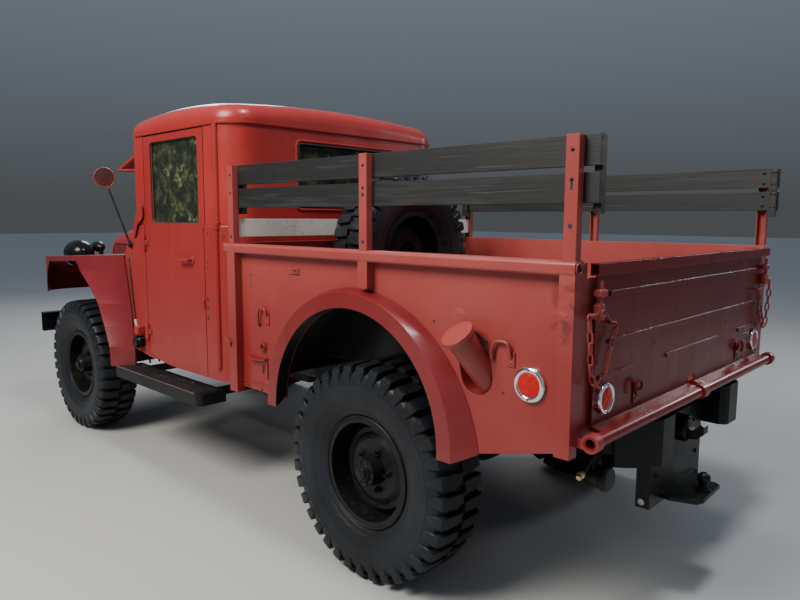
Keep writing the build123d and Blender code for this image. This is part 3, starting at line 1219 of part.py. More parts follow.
# The towing hook: a round body on the channel with a hooked lip behind it
PINTLE = (5, 628)
PINTLE_RADIUS = 53
PINTLE_LENGTH = 48
pintle_y = HITCH_BACK + PINTLE_LENGTH
pintle = along(circle(*PINTLE, PINTLE_RADIUS), HITCH_BACK - 1, pintle_y)
pintle = fillet(pintle.edges().group_by(Axis.Y)[-1], 10)
hook_side = outline(
    (pintle_y - 8, 592),
    (pintle_y + 34, 598),
    (pintle_y + 58, 622),
    (pintle_y + 58, 650),
    (pintle_y + 44, 660),
    (pintle_y + 30, 640),
    (pintle_y + 14, 628),
    (pintle_y - 8, 640),
)
hitch = hitch + pintle + across(hook_side, PINTLE[0] - 22, PINTLE[0] + 22)
save("hitch", hitch)

# Bumperettes: curved guards on brackets beside the hitch
GUARD_X = (258, 512)
GUARD_Y = (RAIL_REAR + 50, RAIL_REAR + 175)
GUARD_Z = (592, 757)
GUARD_WALL = 8
GUARD_ROUND = 30
# The outer end sweeps forward: where it starts, a point on it, and where it ends
GUARD_SWEEP = [(385, GUARD_Y[1]), (456, GUARD_Y[1] - 47), (GUARD_X[1], GUARD_Y[1] - 113)]


def guard_plan(inset):
    """The guard's plan, with its rear and its ends pulled in by inset."""
    sweep = [(x - 0.8 * inset, y - inset) for x, y in GUARD_SWEEP]
    inner, front = GUARD_X[0] + inset, GUARD_Y[0] - inset
    rest = Polyline(
        sweep[2],
        (sweep[2][0], front),
        (inner, front),
        (inner, sweep[0][1] - GUARD_ROUND),
        (inner + GUARD_ROUND / 3, sweep[0][1] - GUARD_ROUND / 3),
        (inner + GUARD_ROUND, sweep[0][1]),
        sweep[0],
    )
    return make_face(ThreePointArc(*sweep) + rest)


guard = upward(guard_plan(0), *GUARD_Z)
guard = guard - upward(guard_plan(GUARD_WALL), GUARD_Z[0] + GUARD_WALL, GUARD_Z[1] - GUARD_WALL)
guard = guard + block(rail_inner, FRAME_HALF_WIDTH, RAIL_REAR + SEAT_GAP, GUARD_Y[1] - GUARD_WALL + 1,
                      610, 700)
save("bumperettes", both_sides(guard))
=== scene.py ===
"""A red military cargo truck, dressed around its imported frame. Metres, -Y ahead, +X its left."""

import json
import math

import bmesh
import bpy
import numpy as np
from mathutils import Euler, Matrix, Vector


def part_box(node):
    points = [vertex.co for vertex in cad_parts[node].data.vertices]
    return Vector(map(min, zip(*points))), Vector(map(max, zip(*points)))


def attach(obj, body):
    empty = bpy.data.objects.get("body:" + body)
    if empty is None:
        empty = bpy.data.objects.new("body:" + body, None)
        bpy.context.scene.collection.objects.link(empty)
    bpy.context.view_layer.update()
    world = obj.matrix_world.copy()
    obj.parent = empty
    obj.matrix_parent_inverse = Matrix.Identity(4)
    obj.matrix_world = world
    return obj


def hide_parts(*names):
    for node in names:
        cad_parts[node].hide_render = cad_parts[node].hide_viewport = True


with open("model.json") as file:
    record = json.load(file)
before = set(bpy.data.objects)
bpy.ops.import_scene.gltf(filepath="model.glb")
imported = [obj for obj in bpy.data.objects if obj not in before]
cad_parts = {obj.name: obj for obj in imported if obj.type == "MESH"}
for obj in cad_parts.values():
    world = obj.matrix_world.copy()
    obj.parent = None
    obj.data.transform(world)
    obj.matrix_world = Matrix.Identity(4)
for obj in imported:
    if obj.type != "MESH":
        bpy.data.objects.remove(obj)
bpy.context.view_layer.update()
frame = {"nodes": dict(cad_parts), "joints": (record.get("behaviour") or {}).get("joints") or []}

NODES = frame["nodes"]
JOINTS = {joint["name"]: joint for joint in frame["joints"]}
TAU = 2 * math.pi
# Directions: out of the truck's left side, to its rear, and up
OUT, AFT, UP = (1, 0, 0), (0, 1, 0), (0, 0, 1)


def back(y):
    """A distance behind the front axle, in millimetres, as the frame's y."""
    return y / 1000.0 + JOINTS["steer_left"]["pos_m"][1]


def places(*points):
    """Points of which each is given as x, millimetres behind the front axle, and z."""
    return [(x, back(y), z) for x, y, z in points]


# Shader values: arithmetic on a Value adds Math nodes.
class Value:
    """An output socket of a finish, which can be added to, scaled and compared."""

    def __init__(self, finish, socket):
        self.finish = finish
        self.socket = socket

    def joined(self, operation, other, other_first=False):
        pair = (other, self) if other_first else (self, other)
        return self.finish.node("Math", {"operation": operation}, {0: pair[0], 1: pair[1]})

    def __add__(self, other):
        return self.joined("ADD", other)

    def __sub__(self, other):
        return self.joined("SUBTRACT", other)

    def __rsub__(self, other):
        return self.joined("SUBTRACT", other, True)

    def __mul__(self, other):
        return self.joined("MULTIPLY", other)

    def above(self, other):
        return self.joined("GREATER_THAN", other)

    def absolute(self):
        return self.joined("ABSOLUTE", 0.0)

    def between(self, low, high):
        """0 at low and below, 1 at high and above, with a smooth step between."""
        inputs = {"Value": self, "From Min": low, "From Max": high}
        return self.finish.node("MapRange", {"interpolation_type": "SMOOTHSTEP"}, inputs)

    __radd__ = __add__
    __rmul__ = __mul__


class Finish:
    """One material, with a single way to add a node."""

    def __init__(self, name):
        self.material = bpy.data.materials.new(name)
        self.material.use_nodes = True
        self.tree = self.material.node_tree
        self.shader = next(n for n in self.tree.nodes if n.type == "BSDF_PRINCIPLED")
        self.place = self.node("TexCoord", output="Object")

    def node(self, kind, settings=None, inputs=None, output=0):
        """Add a node: its settings first, then its sockets' values or links."""
        made = self.tree.nodes.new("ShaderNode" + kind)
        for name, value in (settings or {}).items():
            setattr(made, name, value)
        for name, value in (inputs or {}).items():
            self.feed(made.inputs[name], value)
        return Value(self, made.outputs[output])

    def feed(self, socket, value):
        """Link a Value to a socket, or set the socket to a number or colour."""
        if isinstance(value, Value):
            self.tree.links.new(value.socket, socket)
        else:
            socket.default_value = value

    def noise(self, scale, detail=3.0, rough=0.55, stretch=None):
        """Noise in metres, drawn out along an axis where a stretch is given."""
        place = self.place
        if stretch:
            place = self.node("Mapping", None, {"Vector": place, "Scale": stretch})
        inputs = {"Vector": place, "Scale": scale, "Detail": detail, "Roughness": rough}
        return self.node("TexNoise", None, inputs)

    def waves(self, direction, scale):
        """Soft parallel bands across a direction, for threads, flutes and fins."""
        return self.node("TexWave", {"bands_direction": direction}, {"Vector": self.place, "Scale": scale})

    def height(self, axis=2):
        """One coordinate of the place on the truck, as a value in metres."""
        return self.node("SeparateXYZ", None, {"Vector": self.place}, "XYZ"[axis])

    def blended(self, share, low, high):
        """A colour between two colours."""
        return self.node("Mix", {"data_type": "RGBA"}, {0: share, 6: low, 7: high}, 2)

    def bump(self, height, strength, distance, normal=None):
        inputs = {"Height": height, "Strength": strength, "Distance": distance}
        if normal:
            inputs["Normal"] = normal
        return self.node("Bump", None, inputs)

    def soft_edges(self, radius):
        """Normals that turn round a sharp edge over a small radius."""
        return self.node("Bevel", {"samples": 4}, {"Radius": radius})

    def set(self, **sockets):
        """Feed the shader's sockets, named with underscores for spaces."""
        for name, value in sockets.items():
            self.feed(self.shader.inputs[name.replace("_", " ")], value)
        return self.material


def rgb(red, green, blue):
    return (red, green, blue, 1.0)


DUST = rgb(0.30, 0.26, 0.21)
UNDERCOAT = rgb(0.006, 0.006, 0.006)
# How far behind the arch's centre the black below the floor ends, before the rear sill
UNDERCOAT_END = 0.90
# From a mirror's centre to its edge
MIRROR_REACH = 0.072


def under_cover(finish, radius, half_width, floor):
    """1 inside the rear wheel arches and below the bed's floor, where the sheets are sprayed black."""
    aside, along, up = finish.height(0).absolute(), finish.height(1) - ARCH[0], finish.height() - ARCH[1]
    arch = (1 - (along * along + up * up).above(radius * radius)) * aside.above(WHEEL_HOUSE)
    below = (1 - finish.height().above(floor)) * (1 - along.above(UNDERCOAT_END))
    return (arch + below).above(0.5) * (1 - aside.above(half_width))


def knock(finish, y, z, radius):
    """1 at a place on the truck's sides, falling to 0 at a radius from it."""
    along, up = finish.height(1) - back(y), finish.height() - z
    return 1 - (along * along + up * up).between(radius * radius * 0.15, radius * radius)


def truck_paint(name, fresh, faded, worn, gloss, dust=0.10, waviness=0.35, cover=None, coat=0.16, shine=0.35,
                chalk_and_light=None, knocks=()):
    """Sprayed paint: fading in clouds, fine orange peel, wavy sheet metal, chips and road dust.

    Where chalk_and_light is given, the colour also lightens between two heights: painted light on the
    upper sheets and painted shade lower down, with some fading. Each knock is a place and a
    radius within which the sheet is crumpled and its paint rubbed.
    """
    finish = Finish(name)
    clouds = finish.noise(1.7, 4.0).between(0.35, 0.72)
    if chalk_and_light:
        # Lighter higher up: painted light on the upper sheets and painted shade lower down, mixed with
        # fading
        clouds = clouds * 0.45 + finish.height().between(*chalk_and_light) * 0.85
    colour = finish.blended(clouds * 0.6, fresh, faded)
    chips = finish.noise(46.0, 6.0, 0.7).between(0.73, 0.76) * finish.noise(3.1, 2.0).between(0.54, 0.62)
    colour = finish.blended(chips * 0.7, colour, worn)
    low = 1 - finish.height().between(0.30, 0.95)
    film = finish.noise(9.0, 6.0, 0.65).between(0.38, 0.75)
    dirt = low * (film * 0.75 + 0.25) * dust
    colour = finish.blended(dirt, colour, DUST)
    if cover:
        colour = finish.blended(under_cover(finish, *cover), colour, UNDERCOAT)
    sheet = finish.noise(2.6, 1.5, 0.4)
    if knocks:
        crumple = finish.noise(17.0, 3.0, 0.6)
        for place in knocks:
            near = knock(finish, *place)
            sheet = sheet + near * crumple * 0.5
            colour = finish.blended(near * crumple.between(0.50, 0.62) * 0.45, colour, worn)
    streaks = finish.noise(14.0, 3.0, stretch=(1.0, 1.0, 0.22)).between(0.3, 0.8)
    roughness = gloss + streaks * 0.12 + dirt * 0.55 + chips * 0.2
    dents = finish.bump(sheet, waviness, 0.03, finish.soft_edges(0.003))
    skin = finish.bump(finish.noise(420.0, 2.0), 0.05, 0.0006, dents)
    return finish.set(Base_Color=colour, Roughness=roughness, Normal=skin, Coat_Weight=coat,
                      Coat_Roughness=0.14, Specular_IOR_Level=shine)


def black_enamel(name, colour, worn, gloss, dust):
    """Satin black on steel, greyed by dust where it lies low, with worn specks."""
    finish = Finish(name)
    grey = finish.noise(6.0, 5.0).between(0.35, 0.8)
    base = finish.blended(grey * 0.4, colour, worn)
    low = 1 - finish.height().between(0.1, 1.0)
    dirt = finish.noise(24.0, 7.0, 0.7).between(0.45, 0.8) * low * dust
    base = finish.blended(dirt, base, DUST)
    cast = finish.bump(finish.noise(260.0, 3.0), 0.1, 0.001, finish.soft_edges(0.002))
    return finish.set(Base_Color=base, Roughness=gloss + grey * 0.16 + dirt * 0.4, Normal=cast,
                      Specular_IOR_Level=0.24)


def tyre_rubber(name, dust):
    """Dark grey rubber, bluish in clouds as bloom and as a painted sheen of the sky, with scuffed lugs and
    dust in the hollows.
    """
    finish = Finish(name)
    # The bluish clouds are partly bloom and partly painted sheen of the sky
    bloom_and_sheen = finish.noise(5.0, 5.0).between(0.3, 0.75)
    base = finish.blended(bloom_and_sheen, rgb(0.0045, 0.0055, 0.0075), rgb(0.012, 0.015, 0.021))
    scuffs = finish.noise(75.0, 6.0, 0.75).between(0.45, 0.8)
    base = finish.blended(scuffs * 0.09 * dust, base, rgb(0.12, 0.112, 0.1))
    rub = finish.bump(finish.noise(330.0, 4.0, 0.7), 0.25, 0.0016)
    return finish.set(Base_Color=base, Roughness=0.44 + scuffs * 0.28, Normal=rub, Specular_IOR_Level=0.28)


def painted_board(name, paint, wood, wear):
    """Painted planks that have weathered: grain runs along the truck and shows through."""
    finish = Finish(name)
    grain = finish.noise(52.0, 6.0, 0.62, (1.0, 0.045, 1.0))
    broad = finish.noise(7.0, 4.0, 0.6, (1.0, 0.16, 1.0))
    bare = (grain * 0.65 + broad * 0.5).between(0.60 - wear * 0.1, 0.74)
    base = finish.blended(bare * 0.45, paint, wood)
    checks = finish.noise(96.0, 3.0, 0.5, (1.0, 0.02, 1.0)).between(0.64, 0.72)
    base = finish.blended(checks * 0.7, base, rgb(0.008, 0.007, 0.006))
    ridges = finish.bump(grain - checks * 0.8, 0.35, 0.002, finish.soft_edges(0.003))
    return finish.set(Base_Color=base, Roughness=0.5 + bare * 0.3, Normal=ridges)


def window_glass(name):
    """Dark tinted glass with a thin film of dust, and painted reflections of green and straw-coloured trees
    in patches.
    """
    finish = Finish(name)
    film = finish.noise(5.0, 5.0, 0.65).between(0.4, 0.8)
    # Painted reflections: trees in green patches, with brighter straw-coloured patches among them
    tree_reflections = finish.noise(13.0, 7.0, 0.8).between(0.46, 0.64)
    sky = finish.noise(5.0, 5.0, 0.75).between(0.52, 0.64)
    base = finish.blended(tree_reflections * 0.7, rgb(0.014, 0.020, 0.013), rgb(0.095, 0.10, 0.045))
    base = finish.blended(sky * tree_reflections * 0.8, base, rgb(0.36, 0.38, 0.20))
    return finish.set(Base_Color=base, Roughness=0.04 + film * 0.06, Alpha=film * 0.1 + 0.78, IOR=1.5)


def bright_metal(name, colour, roughness, pits=0.12):
    """Plated or bare metal with faint smears."""
    finish = Finish(name)
    smear = finish.noise(30.0, 5.0, 0.6).between(0.35, 0.8)
    base = finish.blended(smear * pits * 2, colour, rgb(0.2, 0.19, 0.18))
    return finish.set(Base_Color=base, Metallic=1.0, Roughness=roughness + smear * 0.12)


def plain(name, colour, other, roughness, scale=40.0, depth=0.0):
    """A finish of two close shades in fine noise, with a grain of its own depth."""
    finish = Finish(name)
    grain = finish.noise(scale, 5.0, 0.6)
    base = finish.blended(grain.between(0.3, 0.75), colour, other)
    relief = finish.bump(grain, 0.4, depth, finish.soft_edges(0.0015))
    return finish.set(Base_Color=base, Roughness=roughness + grain * 0.15, Normal=relief)


def seat_canvas(name):
    """Coarse duck canvas: two sets of threads crossing, over worn olive cloth."""
    finish = Finish(name)
    warp = finish.waves("X", 160.0)
    weft = finish.waves("Z", 160.0)
    worn = finish.noise(8.0, 5.0).between(0.4, 0.75)
    base = finish.blended(worn, rgb(0.022, 0.022, 0.018), rgb(0.05, 0.047, 0.036))
    weave = finish.bump(warp * weft, 0.5, 0.0012)
    return finish.set(Base_Color=base, Roughness=0.85, Normal=weave)


def reflector_lens(name):
    """Deep red moulded plastic crossed both ways by fine prisms; a faint glow is painted light for the light
    it throws back.
    """
    finish = Finish(name)
    rows = finish.waves("Z", 110.0)
    columns = finish.waves("DIAGONAL", 70.0)
    base = finish.blended(rows * columns, rgb(0.36, 0.003, 0.002), rgb(0.62, 0.010, 0.006))
    prisms = finish.bump(rows + columns, 0.3, 0.0006)
    # The faint emission is painted light: the lens is no lamp
    return finish.set(Base_Color=base, Roughness=0.3 + rows * 0.1, Normal=prisms, Coat_Weight=0.1,
                      Specular_IOR_Level=0.25, Emission_Color=base, Emission_Strength=0.09)


def mirror_paint(name):
    """Brownish red on the two round heads, a painted reflection of the red truck; black on everything
    further from them than their edge.
    """
    finish = Finish(name)
    x, y, z = (finish.height(axis) for axis in range(3))
    aside, along, up = x.absolute() - MIRROR_CENTRE[0], y - MIRROR_CENTRE[1], z - MIRROR_CENTRE[2]
    far = (aside * aside + along * along + up * up).above(MIRROR_REACH * MIRROR_REACH)
    # The heads' brownish red is a painted reflection of the red truck
    base = finish.blended(far, rgb(0.13, 0.022, 0.013), rgb(0.008, 0.008, 0.009))
    return finish.set(Base_Color=base, Roughness=0.3 + finish.noise(30.0).between(0.3, 0.8) * 0.15)


def painted_steel_tread(name):
    """Black enamel worn to grey on what stands highest, for the tread of the running boards."""
    finish = Finish(name)
    rub = finish.noise(18.0, 5.0, 0.65).between(0.5, 0.75)
    base = finish.blended(rub * 0.5, rgb(0.010, 0.010, 0.010), rgb(0.09, 0.085, 0.08))
    grit = finish.bump(finish.noise(240.0), 0.2, 0.001)
    return finish.set(Base_Color=base, Roughness=0.5 + rub * 0.2, Normal=grit)


def lamp_lens(name):
    """Clear pressed glass with upright flutes."""
    finish = Finish(name)
    flutes = finish.waves("X", 26.0)
    film = finish.noise(9.0, 4.0).between(0.4, 0.8)
    base = finish.blended(film * 0.3, rgb(0.62, 0.66, 0.68), rgb(0.4, 0.4, 0.38))
    relief = finish.bump(flutes, 0.6, 0.003)
    return finish.set(Base_Color=base, Roughness=0.05 + film * 0.1, Normal=relief, Coat_Weight=1.0)


def radiator_core(name):
    """Black fins close together, crossed by flat tubes."""
    finish = Finish(name)
    fins = finish.waves("Z", 70.0)
    tubes = finish.waves("X", 24.0)
    base = finish.blended(fins * tubes, rgb(0.004, 0.004, 0.004), rgb(0.05, 0.05, 0.05))
    return finish.set(Base_Color=base, Roughness=0.6, Normal=finish.bump(fins * 0.5 + tubes, 0.7, 0.006))


MIRROR_CENTRE = (0.902, back(590), 1.674)
# The rear wheel arches' centre, along and up
ARCH = (back(2797), 0.630)
# Inside the inner wall of the bed's wheel houses, outward from the middle
WHEEL_HOUSE = 0.6225
RED = truck_paint("red_paint", rgb(0.255, 0.018, 0.0165), rgb(0.32, 0.032, 0.028),
                  rgb(0.08, 0.012, 0.01), 0.33)
TOP_RED = truck_paint("hardtop_red", rgb(0.30, 0.021, 0.018), rgb(0.37, 0.036, 0.03),
                      rgb(0.13, 0.018, 0.014), 0.28)
SIDE_PAINT = (rgb(0.215, 0.015, 0.0145), rgb(0.36, 0.075, 0.066), rgb(0.07, 0.012, 0.01), 0.34)
# Places on the bed's sides: millimetres behind the front axle, height, radius
CRUMPLES = [(3722, 1.200, 0.085), (3706, 1.120, 0.060), (3311, 1.106, 0.035)]
# The heights between which the sides lighten: painted light high up, painted shade low down, and fading
BED_RED = truck_paint("bed_red", *SIDE_PAINT, waviness=0.5, chalk_and_light=(0.80, 1.32))
SIDE_RED = truck_paint("bed_red_undercoated", *SIDE_PAINT, waviness=0.5, cover=(0.507, 0.8665, 0.796),
                       chalk_and_light=(0.80, 1.32), knocks=CRUMPLES)
# The rear fenders' darker, purplish copy of the bed's red is painted shade.
REAR_FENDER_SHADED_RED = truck_paint("rear_fender_shaded_red", rgb(0.165, 0.0105, 0.0115), rgb(0.215, 0.027, 0.029),
                         rgb(0.07, 0.012, 0.01), 0.34, waviness=0.5, cover=(0.4655, 0.99, 0.0),
                         knocks=[(2343, 0.950, 0.110)])
# The front fenders' darker, purplish copy of the red is painted shade, with the cool cast of skylight in
# shadow.
FRONT_FENDER_SHADED_RED = truck_paint("front_fender_shaded_red", rgb(0.140, 0.0095, 0.0125), rgb(0.18, 0.017, 0.022),
                        rgb(0.06, 0.012, 0.01), 0.30, waviness=0.45)
# The gate's darker copy of the red is painted shade: it stands for the shadow the gate lies in.
GATE_SHADED_RED = truck_paint("gate_shaded_red", rgb(0.150, 0.0065, 0.006), rgb(0.18, 0.009, 0.008),
                       rgb(0.06, 0.01, 0.008), 0.26, dust=0.02, waviness=0.28, coat=0.10, shine=0.22)
BLACK = black_enamel("black_paint", rgb(0.005, 0.005, 0.0055), rgb(0.012, 0.012, 0.013), 0.38, 0.05)
CHASSIS_BLACK = black_enamel("chassis_black", rgb(0.008, 0.008, 0.008), rgb(0.022, 0.020, 0.018), 0.55, 0.3)
GLOSS_BLACK = black_enamel("gloss_black", rgb(0.005, 0.005, 0.006), rgb(0.010, 0.010, 0.011), 0.18, 0.05)
TREAD_BLACK = painted_steel_tread("board_tread")
MIRROR_RED = mirror_paint("mirror_paint")
# The mirrors' glass is a flat brownish red: a painted reflection of the red truck.
MIRROR_GLASS_REFLECTION = plain("mirror_glass", rgb(0.055, 0.015, 0.014), rgb(0.09, 0.030, 0.026), 0.16, 9.0)
MIRROR_RIM = plain("mirror_rim", rgb(0.12, 0.035, 0.032), rgb(0.18, 0.065, 0.058), 0.3, 30.0)
TYRE = tyre_rubber("tyre_rubber", 1.0)
SPARE_RUBBER = tyre_rubber("spare_rubber", 4.0)
BLACK_WOOD = painted_board("black_wood", rgb(0.007, 0.0075, 0.0075), rgb(0.022, 0.023, 0.022), 0.2)
WHITE_WOOD = painted_board("white_wood", rgb(0.62, 0.57, 0.48), rgb(0.28, 0.24, 0.19), 0.7)
GLASS = window_glass("dark_glass")
CHROME = bright_metal("chrome", rgb(0.82, 0.82, 0.83), 0.06)
STEEL = bright_metal("worn_steel", rgb(0.42, 0.4, 0.38), 0.35, 0.4)
BRASS = bright_metal("brass", rgb(0.62, 0.45, 0.2), 0.3, 0.3)
LENS = reflector_lens("red_lens")
LAMP_GLASS = lamp_lens("lamp_glass")
RUBBER = plain("seal_rubber", rgb(0.010, 0.010, 0.010), rgb(0.022, 0.022, 0.022), 0.55, 60.0, 0.0004)
CANVAS = seat_canvas("seat_canvas")
IRON = plain("engine_iron", rgb(0.05, 0.052, 0.045), rgb(0.09, 0.085, 0.07), 0.6, 60.0, 0.002)
CORE = radiator_core("radiator_core")

NODE_FINISHES = (
    (RED, "cab_body door_left door_right hood grille windshield_frames"),
    (FRONT_FENDER_SHADED_RED, "front_fenders"), (TOP_RED, "cab_top"), (SIDE_RED, "cargo_bed"),
    (REAR_FENDER_SHADED_RED, "rear_fenders"), (BED_RED, "fuel_filler stakes"), (MIRROR_RED, "mirrors"),
    (GATE_SHADED_RED, "tailgate tailgate_chains"),
    (BLACK, "running_boards hitch bumperettes front_bumper wheel_front_left wheel_front_right"),
    (BLACK, "wheel_rear_left wheel_rear_right spare_wheel"), (GLOSS_BLACK, "headlamps steering_wheel"),
    (CHASSIS_BLACK, "frame axles knuckle_left knuckle_right tie_rod leaf_springs driveline fuel_tank"),
    (IRON, "engine"), (CORE, "radiator"), (BLACK_WOOD, "side_boards"), (WHITE_WOOD, "front_board"),
    (CANVAS, "seats"), (GLASS, "door_glass_left door_glass_right window_glass"),
    (CHROME, "side_reflectors tailgate_reflectors"), (SPARE_RUBBER, "spare_tyre"),
    (TYRE, "tyre_front_left tyre_front_right tyre_rear_left tyre_rear_right"),
)
for finish, names in NODE_FINISHES:
    for name in names.split():
        NODES[name].data.materials.clear()
        NODES[name].data.materials.append(finish)


# Shapes: a shape is a pair of points (N, 3) and a list of faces.
def grid_faces(rows, columns, round_rows=False):
    """Quads over rings of points laid one after another, where asked from the last back to the first."""
    r, c = np.meshgrid(np.arange(rows if round_rows else rows - 1), np.arange(columns), indexing="ij")
    r_next, c_next = (r + 1) % rows, (c + 1) % columns
    corners = (r * columns + c, r * columns + c_next, r_next * columns + c_next, r_next * columns + c)
    return np.stack(corners, -1).reshape(-1, 4).tolist()


def merged(shapes):
    """Several shapes as one."""
    shapes = list(shapes)
    starts = np.cumsum([0] + [len(points) for points, _ in shapes[:-1]])
    points = np.concatenate([points for points, _ in shapes])
    faces = [[int(start) + i for i in face] for start, (_, some) in zip(starts, shapes) for face in some]
    return points, faces


def moved(shape, offset=(0, 0, 0), turn=None):
    """A shape turned by a 3x3 matrix, then moved."""
    points, faces = shape
    if turn is not None:
        points = points @ np.asarray(turn, float).T
    return points + np.asarray(offset, float), faces


def mirrored(shape):
    """A shape's image on the truck's other side."""
    points, faces = shape
    return points * (-1, 1, 1), [face[::-1] for face in faces]


def both_sides(*shapes):
    """Shapes and their images on the other side, as one."""
    shape = merged(shapes)
    return merged([shape, mirrored(shape)])


# How a left shape becomes either side's
HANDS = (("left", moved), ("right", mirrored))


def basis(direction):
    """Columns that carry x, y, z to two crosswise directions and the given one."""
    z = np.asarray(direction, float)
    z = z / np.linalg.norm(z)
    x = np.cross((0.0, 0.0, 1.0) if abs(z[2]) < 0.9 else (0.0, 1.0, 0.0), z)
    x = x / np.linalg.norm(x)
    return np.stack([x, np.cross(z, x), z], axis=1)


def capped(points, rows, columns):
    """A tube of rings closed by one face at each end."""
    faces = grid_faces(rows, columns)
    faces.append(list(range(columns))[::-1])
    faces.append([(rows - 1) * columns + i for i in range(columns)])
    return points, faces


def turned(profile, centre=(0, 0, 0), axis=UP, sides=32, ring=False):
    """A turned piece: each (radius, height) of the profile becomes a circle about the axis.

    A ring's profile is a closed loop. Any other piece is capped at both ends.
    """
    radius, height = np.array(profile, float).T
    angle = np.arange(sides) / sides * TAU
    radius, height = radius[:, None], np.repeat(height[:, None], sides, 1)
    points = np.stack([radius * np.cos(angle), radius * np.sin(angle), height], -1).reshape(-1, 3)
    shape = (points, grid_faces(len(radius), sides, True)) if ring else capped(points, len(radius), sides)
    return moved(shape, centre, basis(axis))


def rolled_ring(radius, height, wide, tall, centre=(0, 0, 0), axis=OUT, sides=32, steps=8):
    """A ring of oval section, whose half sizes are wide and tall, at a height along its axis."""
    angle = np.arange(steps) / steps * TAU
    section = np.stack([radius + wide * np.cos(angle), height + tall * np.sin(angle)], -1)
    return turned(section, centre, axis, sides, True)


def disc(radius, height, centre, axis=OUT, sides=16, foot=0.0):
    """A short round bar along an axis, between two heights."""
    return turned([(0, foot), (radius, foot), (radius, height), (0, height)], centre, axis, sides)


def chamfered(low, high, edge=0.002):
    """A bar between two corners whose edges are cut back: four rounded-square rings from end to end."""
    low, high = np.minimum(low, high).astype(float), np.maximum(low, high).astype(float)
    middle, half = (low + high) / 2, (high - low) / 2
    edge = min(edge, half.min() * 0.45)
    signs = np.array([(1, -1), (1, 1), (-1, 1), (-1, -1)], float)
    flipped = (signs.prod(1) < 0)[:, None]
    rings = []
    for level, inset in ((-1, edge), (-1, 0.0), (1, 0.0), (1, edge)):
        a, b = half[:2] - inset
        x = signs[:, :1] * (a, a - edge)
        y = signs[:, 1:] * (b - edge, b)
        x, y = np.where(flipped, x[:, ::-1], x), np.where(flipped, y[:, ::-1], y)
        z = np.full(8, level * (half[2] - (0.0 if inset else edge)))
        rings.append(np.stack([x.ravel(), y.ravel(), z], -1))
    points, faces = capped(np.concatenate(rings), 4, 8)
    return points + middle, faces


def frames_along(path, closed):
    """Directions along a path, and a crosswise pair carried from point to point without twist."""
    ahead = np.roll(path, -1, 0) - np.roll(path, 1, 0)
    if not closed:
        ahead[0], ahead[-1] = path[1] - path[0], path[-1] - path[-2]
    ahead = ahead / np.linalg.norm(ahead, axis=1)[:, None]
    first = basis(ahead[0])
    across = [first[:, 0]]
    for direction in ahead[1:]:
        carried = across[-1] - direction * across[-1].dot(direction)
        across.append(carried / np.linalg.norm(carried))
    across = np.array(across)
    return across, np.cross(ahead, across)


def swept(path, section, closed=False):
    """A section, drawn as (across, up) points, carried along a path."""
    path, section = np.asarray(path, float), np.asarray(section, float)
    across, up = frames_along(path, closed)
    points = path[:, None] + section[None, :, :1] * across[:, None] + section[None, :, 1:] * up[:, None]
    points = points.reshape(-1, 3)
    if closed:
        return points, grid_faces(len(path), len(section), True)
    return capped(points, len(path), len(section))


def round_section(radius, sides=8):
    """A circle's points, as a section."""
    angle = np.arange(sides) / sides * TAU
    return np.stack([np.cos(angle), np.sin(angle)], -1) * radius


def strap_section(half_width, half_height):
    """A flat bar's corners, as a section."""
    return [(x * half_width, y * half_height) for x, y in ((-1, -1), (1, -1), (1, 1), (-1, 1))]


def rod(path, radius, sides=8, closed=False):
    """A round bar along a path of points."""
    return swept(path, round_section(radius, sides), closed)


def arc(centre, radius, start, stop, steps, u=OUT, v=UP):
    """Points on a circle in the plane of u and v, between two angles in degrees."""
    angle = np.radians(np.linspace(start, stop, steps))[:, None]
    u, v = np.asarray(u, float), np.asarray(v, float)
    return np.asarray(centre, float) + radius * (np.cos(angle) * u + np.sin(angle) * v)


def smooth_path(points, steps=8):
    """A curve through a few points: each stretch is a cubic whose slopes come from its neighbours."""
    points = np.asarray(points, float)
    ends = np.concatenate([[2 * points[0] - points[1]], points, [2 * points[-1] - points[-2]]])
    t = np.linspace(0, 1, steps, endpoint=False)[:, None, None]
    a, b, c, d = ends[:-3], ends[1:-2], ends[2:-1], ends[3:]
    square, cube = 2 * a - 5 * b + 4 * c - d, 3 * b - a - 3 * c + d
    curve = 0.5 * (2 * b + (c - a) * t + square * t**2 + cube * t**3)
    curve = curve.transpose(1, 0, 2).reshape(-1, points.shape[1])
    return np.concatenate([curve, points[-1:]])


def wire_ring(centre, radius, wire, u, sides=8):
    """A ring of round wire, upright in the plane of u."""
    return rod(arc(centre, radius, 0, 360, 17, u)[:-1], wire, sides, True)


def bolt(centre, axis, size):
    """A hexagon head with a chamfered top on a round washer, standing on its seat."""
    washer = disc(size * 1.08, size * 0.14, centre, axis)
    head = [(0.0, 0.1), (0.78, 0.1), (0.78, 0.62), (0.66, 0.72), (0.0, 0.72)]
    return merged([washer, turned(np.array(head) * size, centre, axis, 6)])


def rivet(centre, axis, size):
    """A round domed head: height falls off as a circle does."""
    reach = np.radians(np.linspace(90, 0, 5))
    dome = np.stack([size * np.sin(reach), size * 0.5 * np.cos(reach)], -1)
    return turned([(0.0, -size * 0.05), (size, -size * 0.05), *dome], centre, axis, 12)


def bolts(places, axis, size, kind=bolt):
    """Like heads at a list of places."""
    return merged(kind(place, axis, size) for place in places)


def mesh_of(name, shape):
    """A shape as a mesh."""
    points, faces = shape
    mesh = bpy.data.meshes.new(name)
    mesh.from_pydata(np.asarray(points).tolist(), [], faces)
    return mesh


def into_scene(name, data):
    """A new object with its data, linked into the scene."""
    made = bpy.data.objects.new(name, data)
    bpy.context.scene.collection.objects.link(made)
    return made


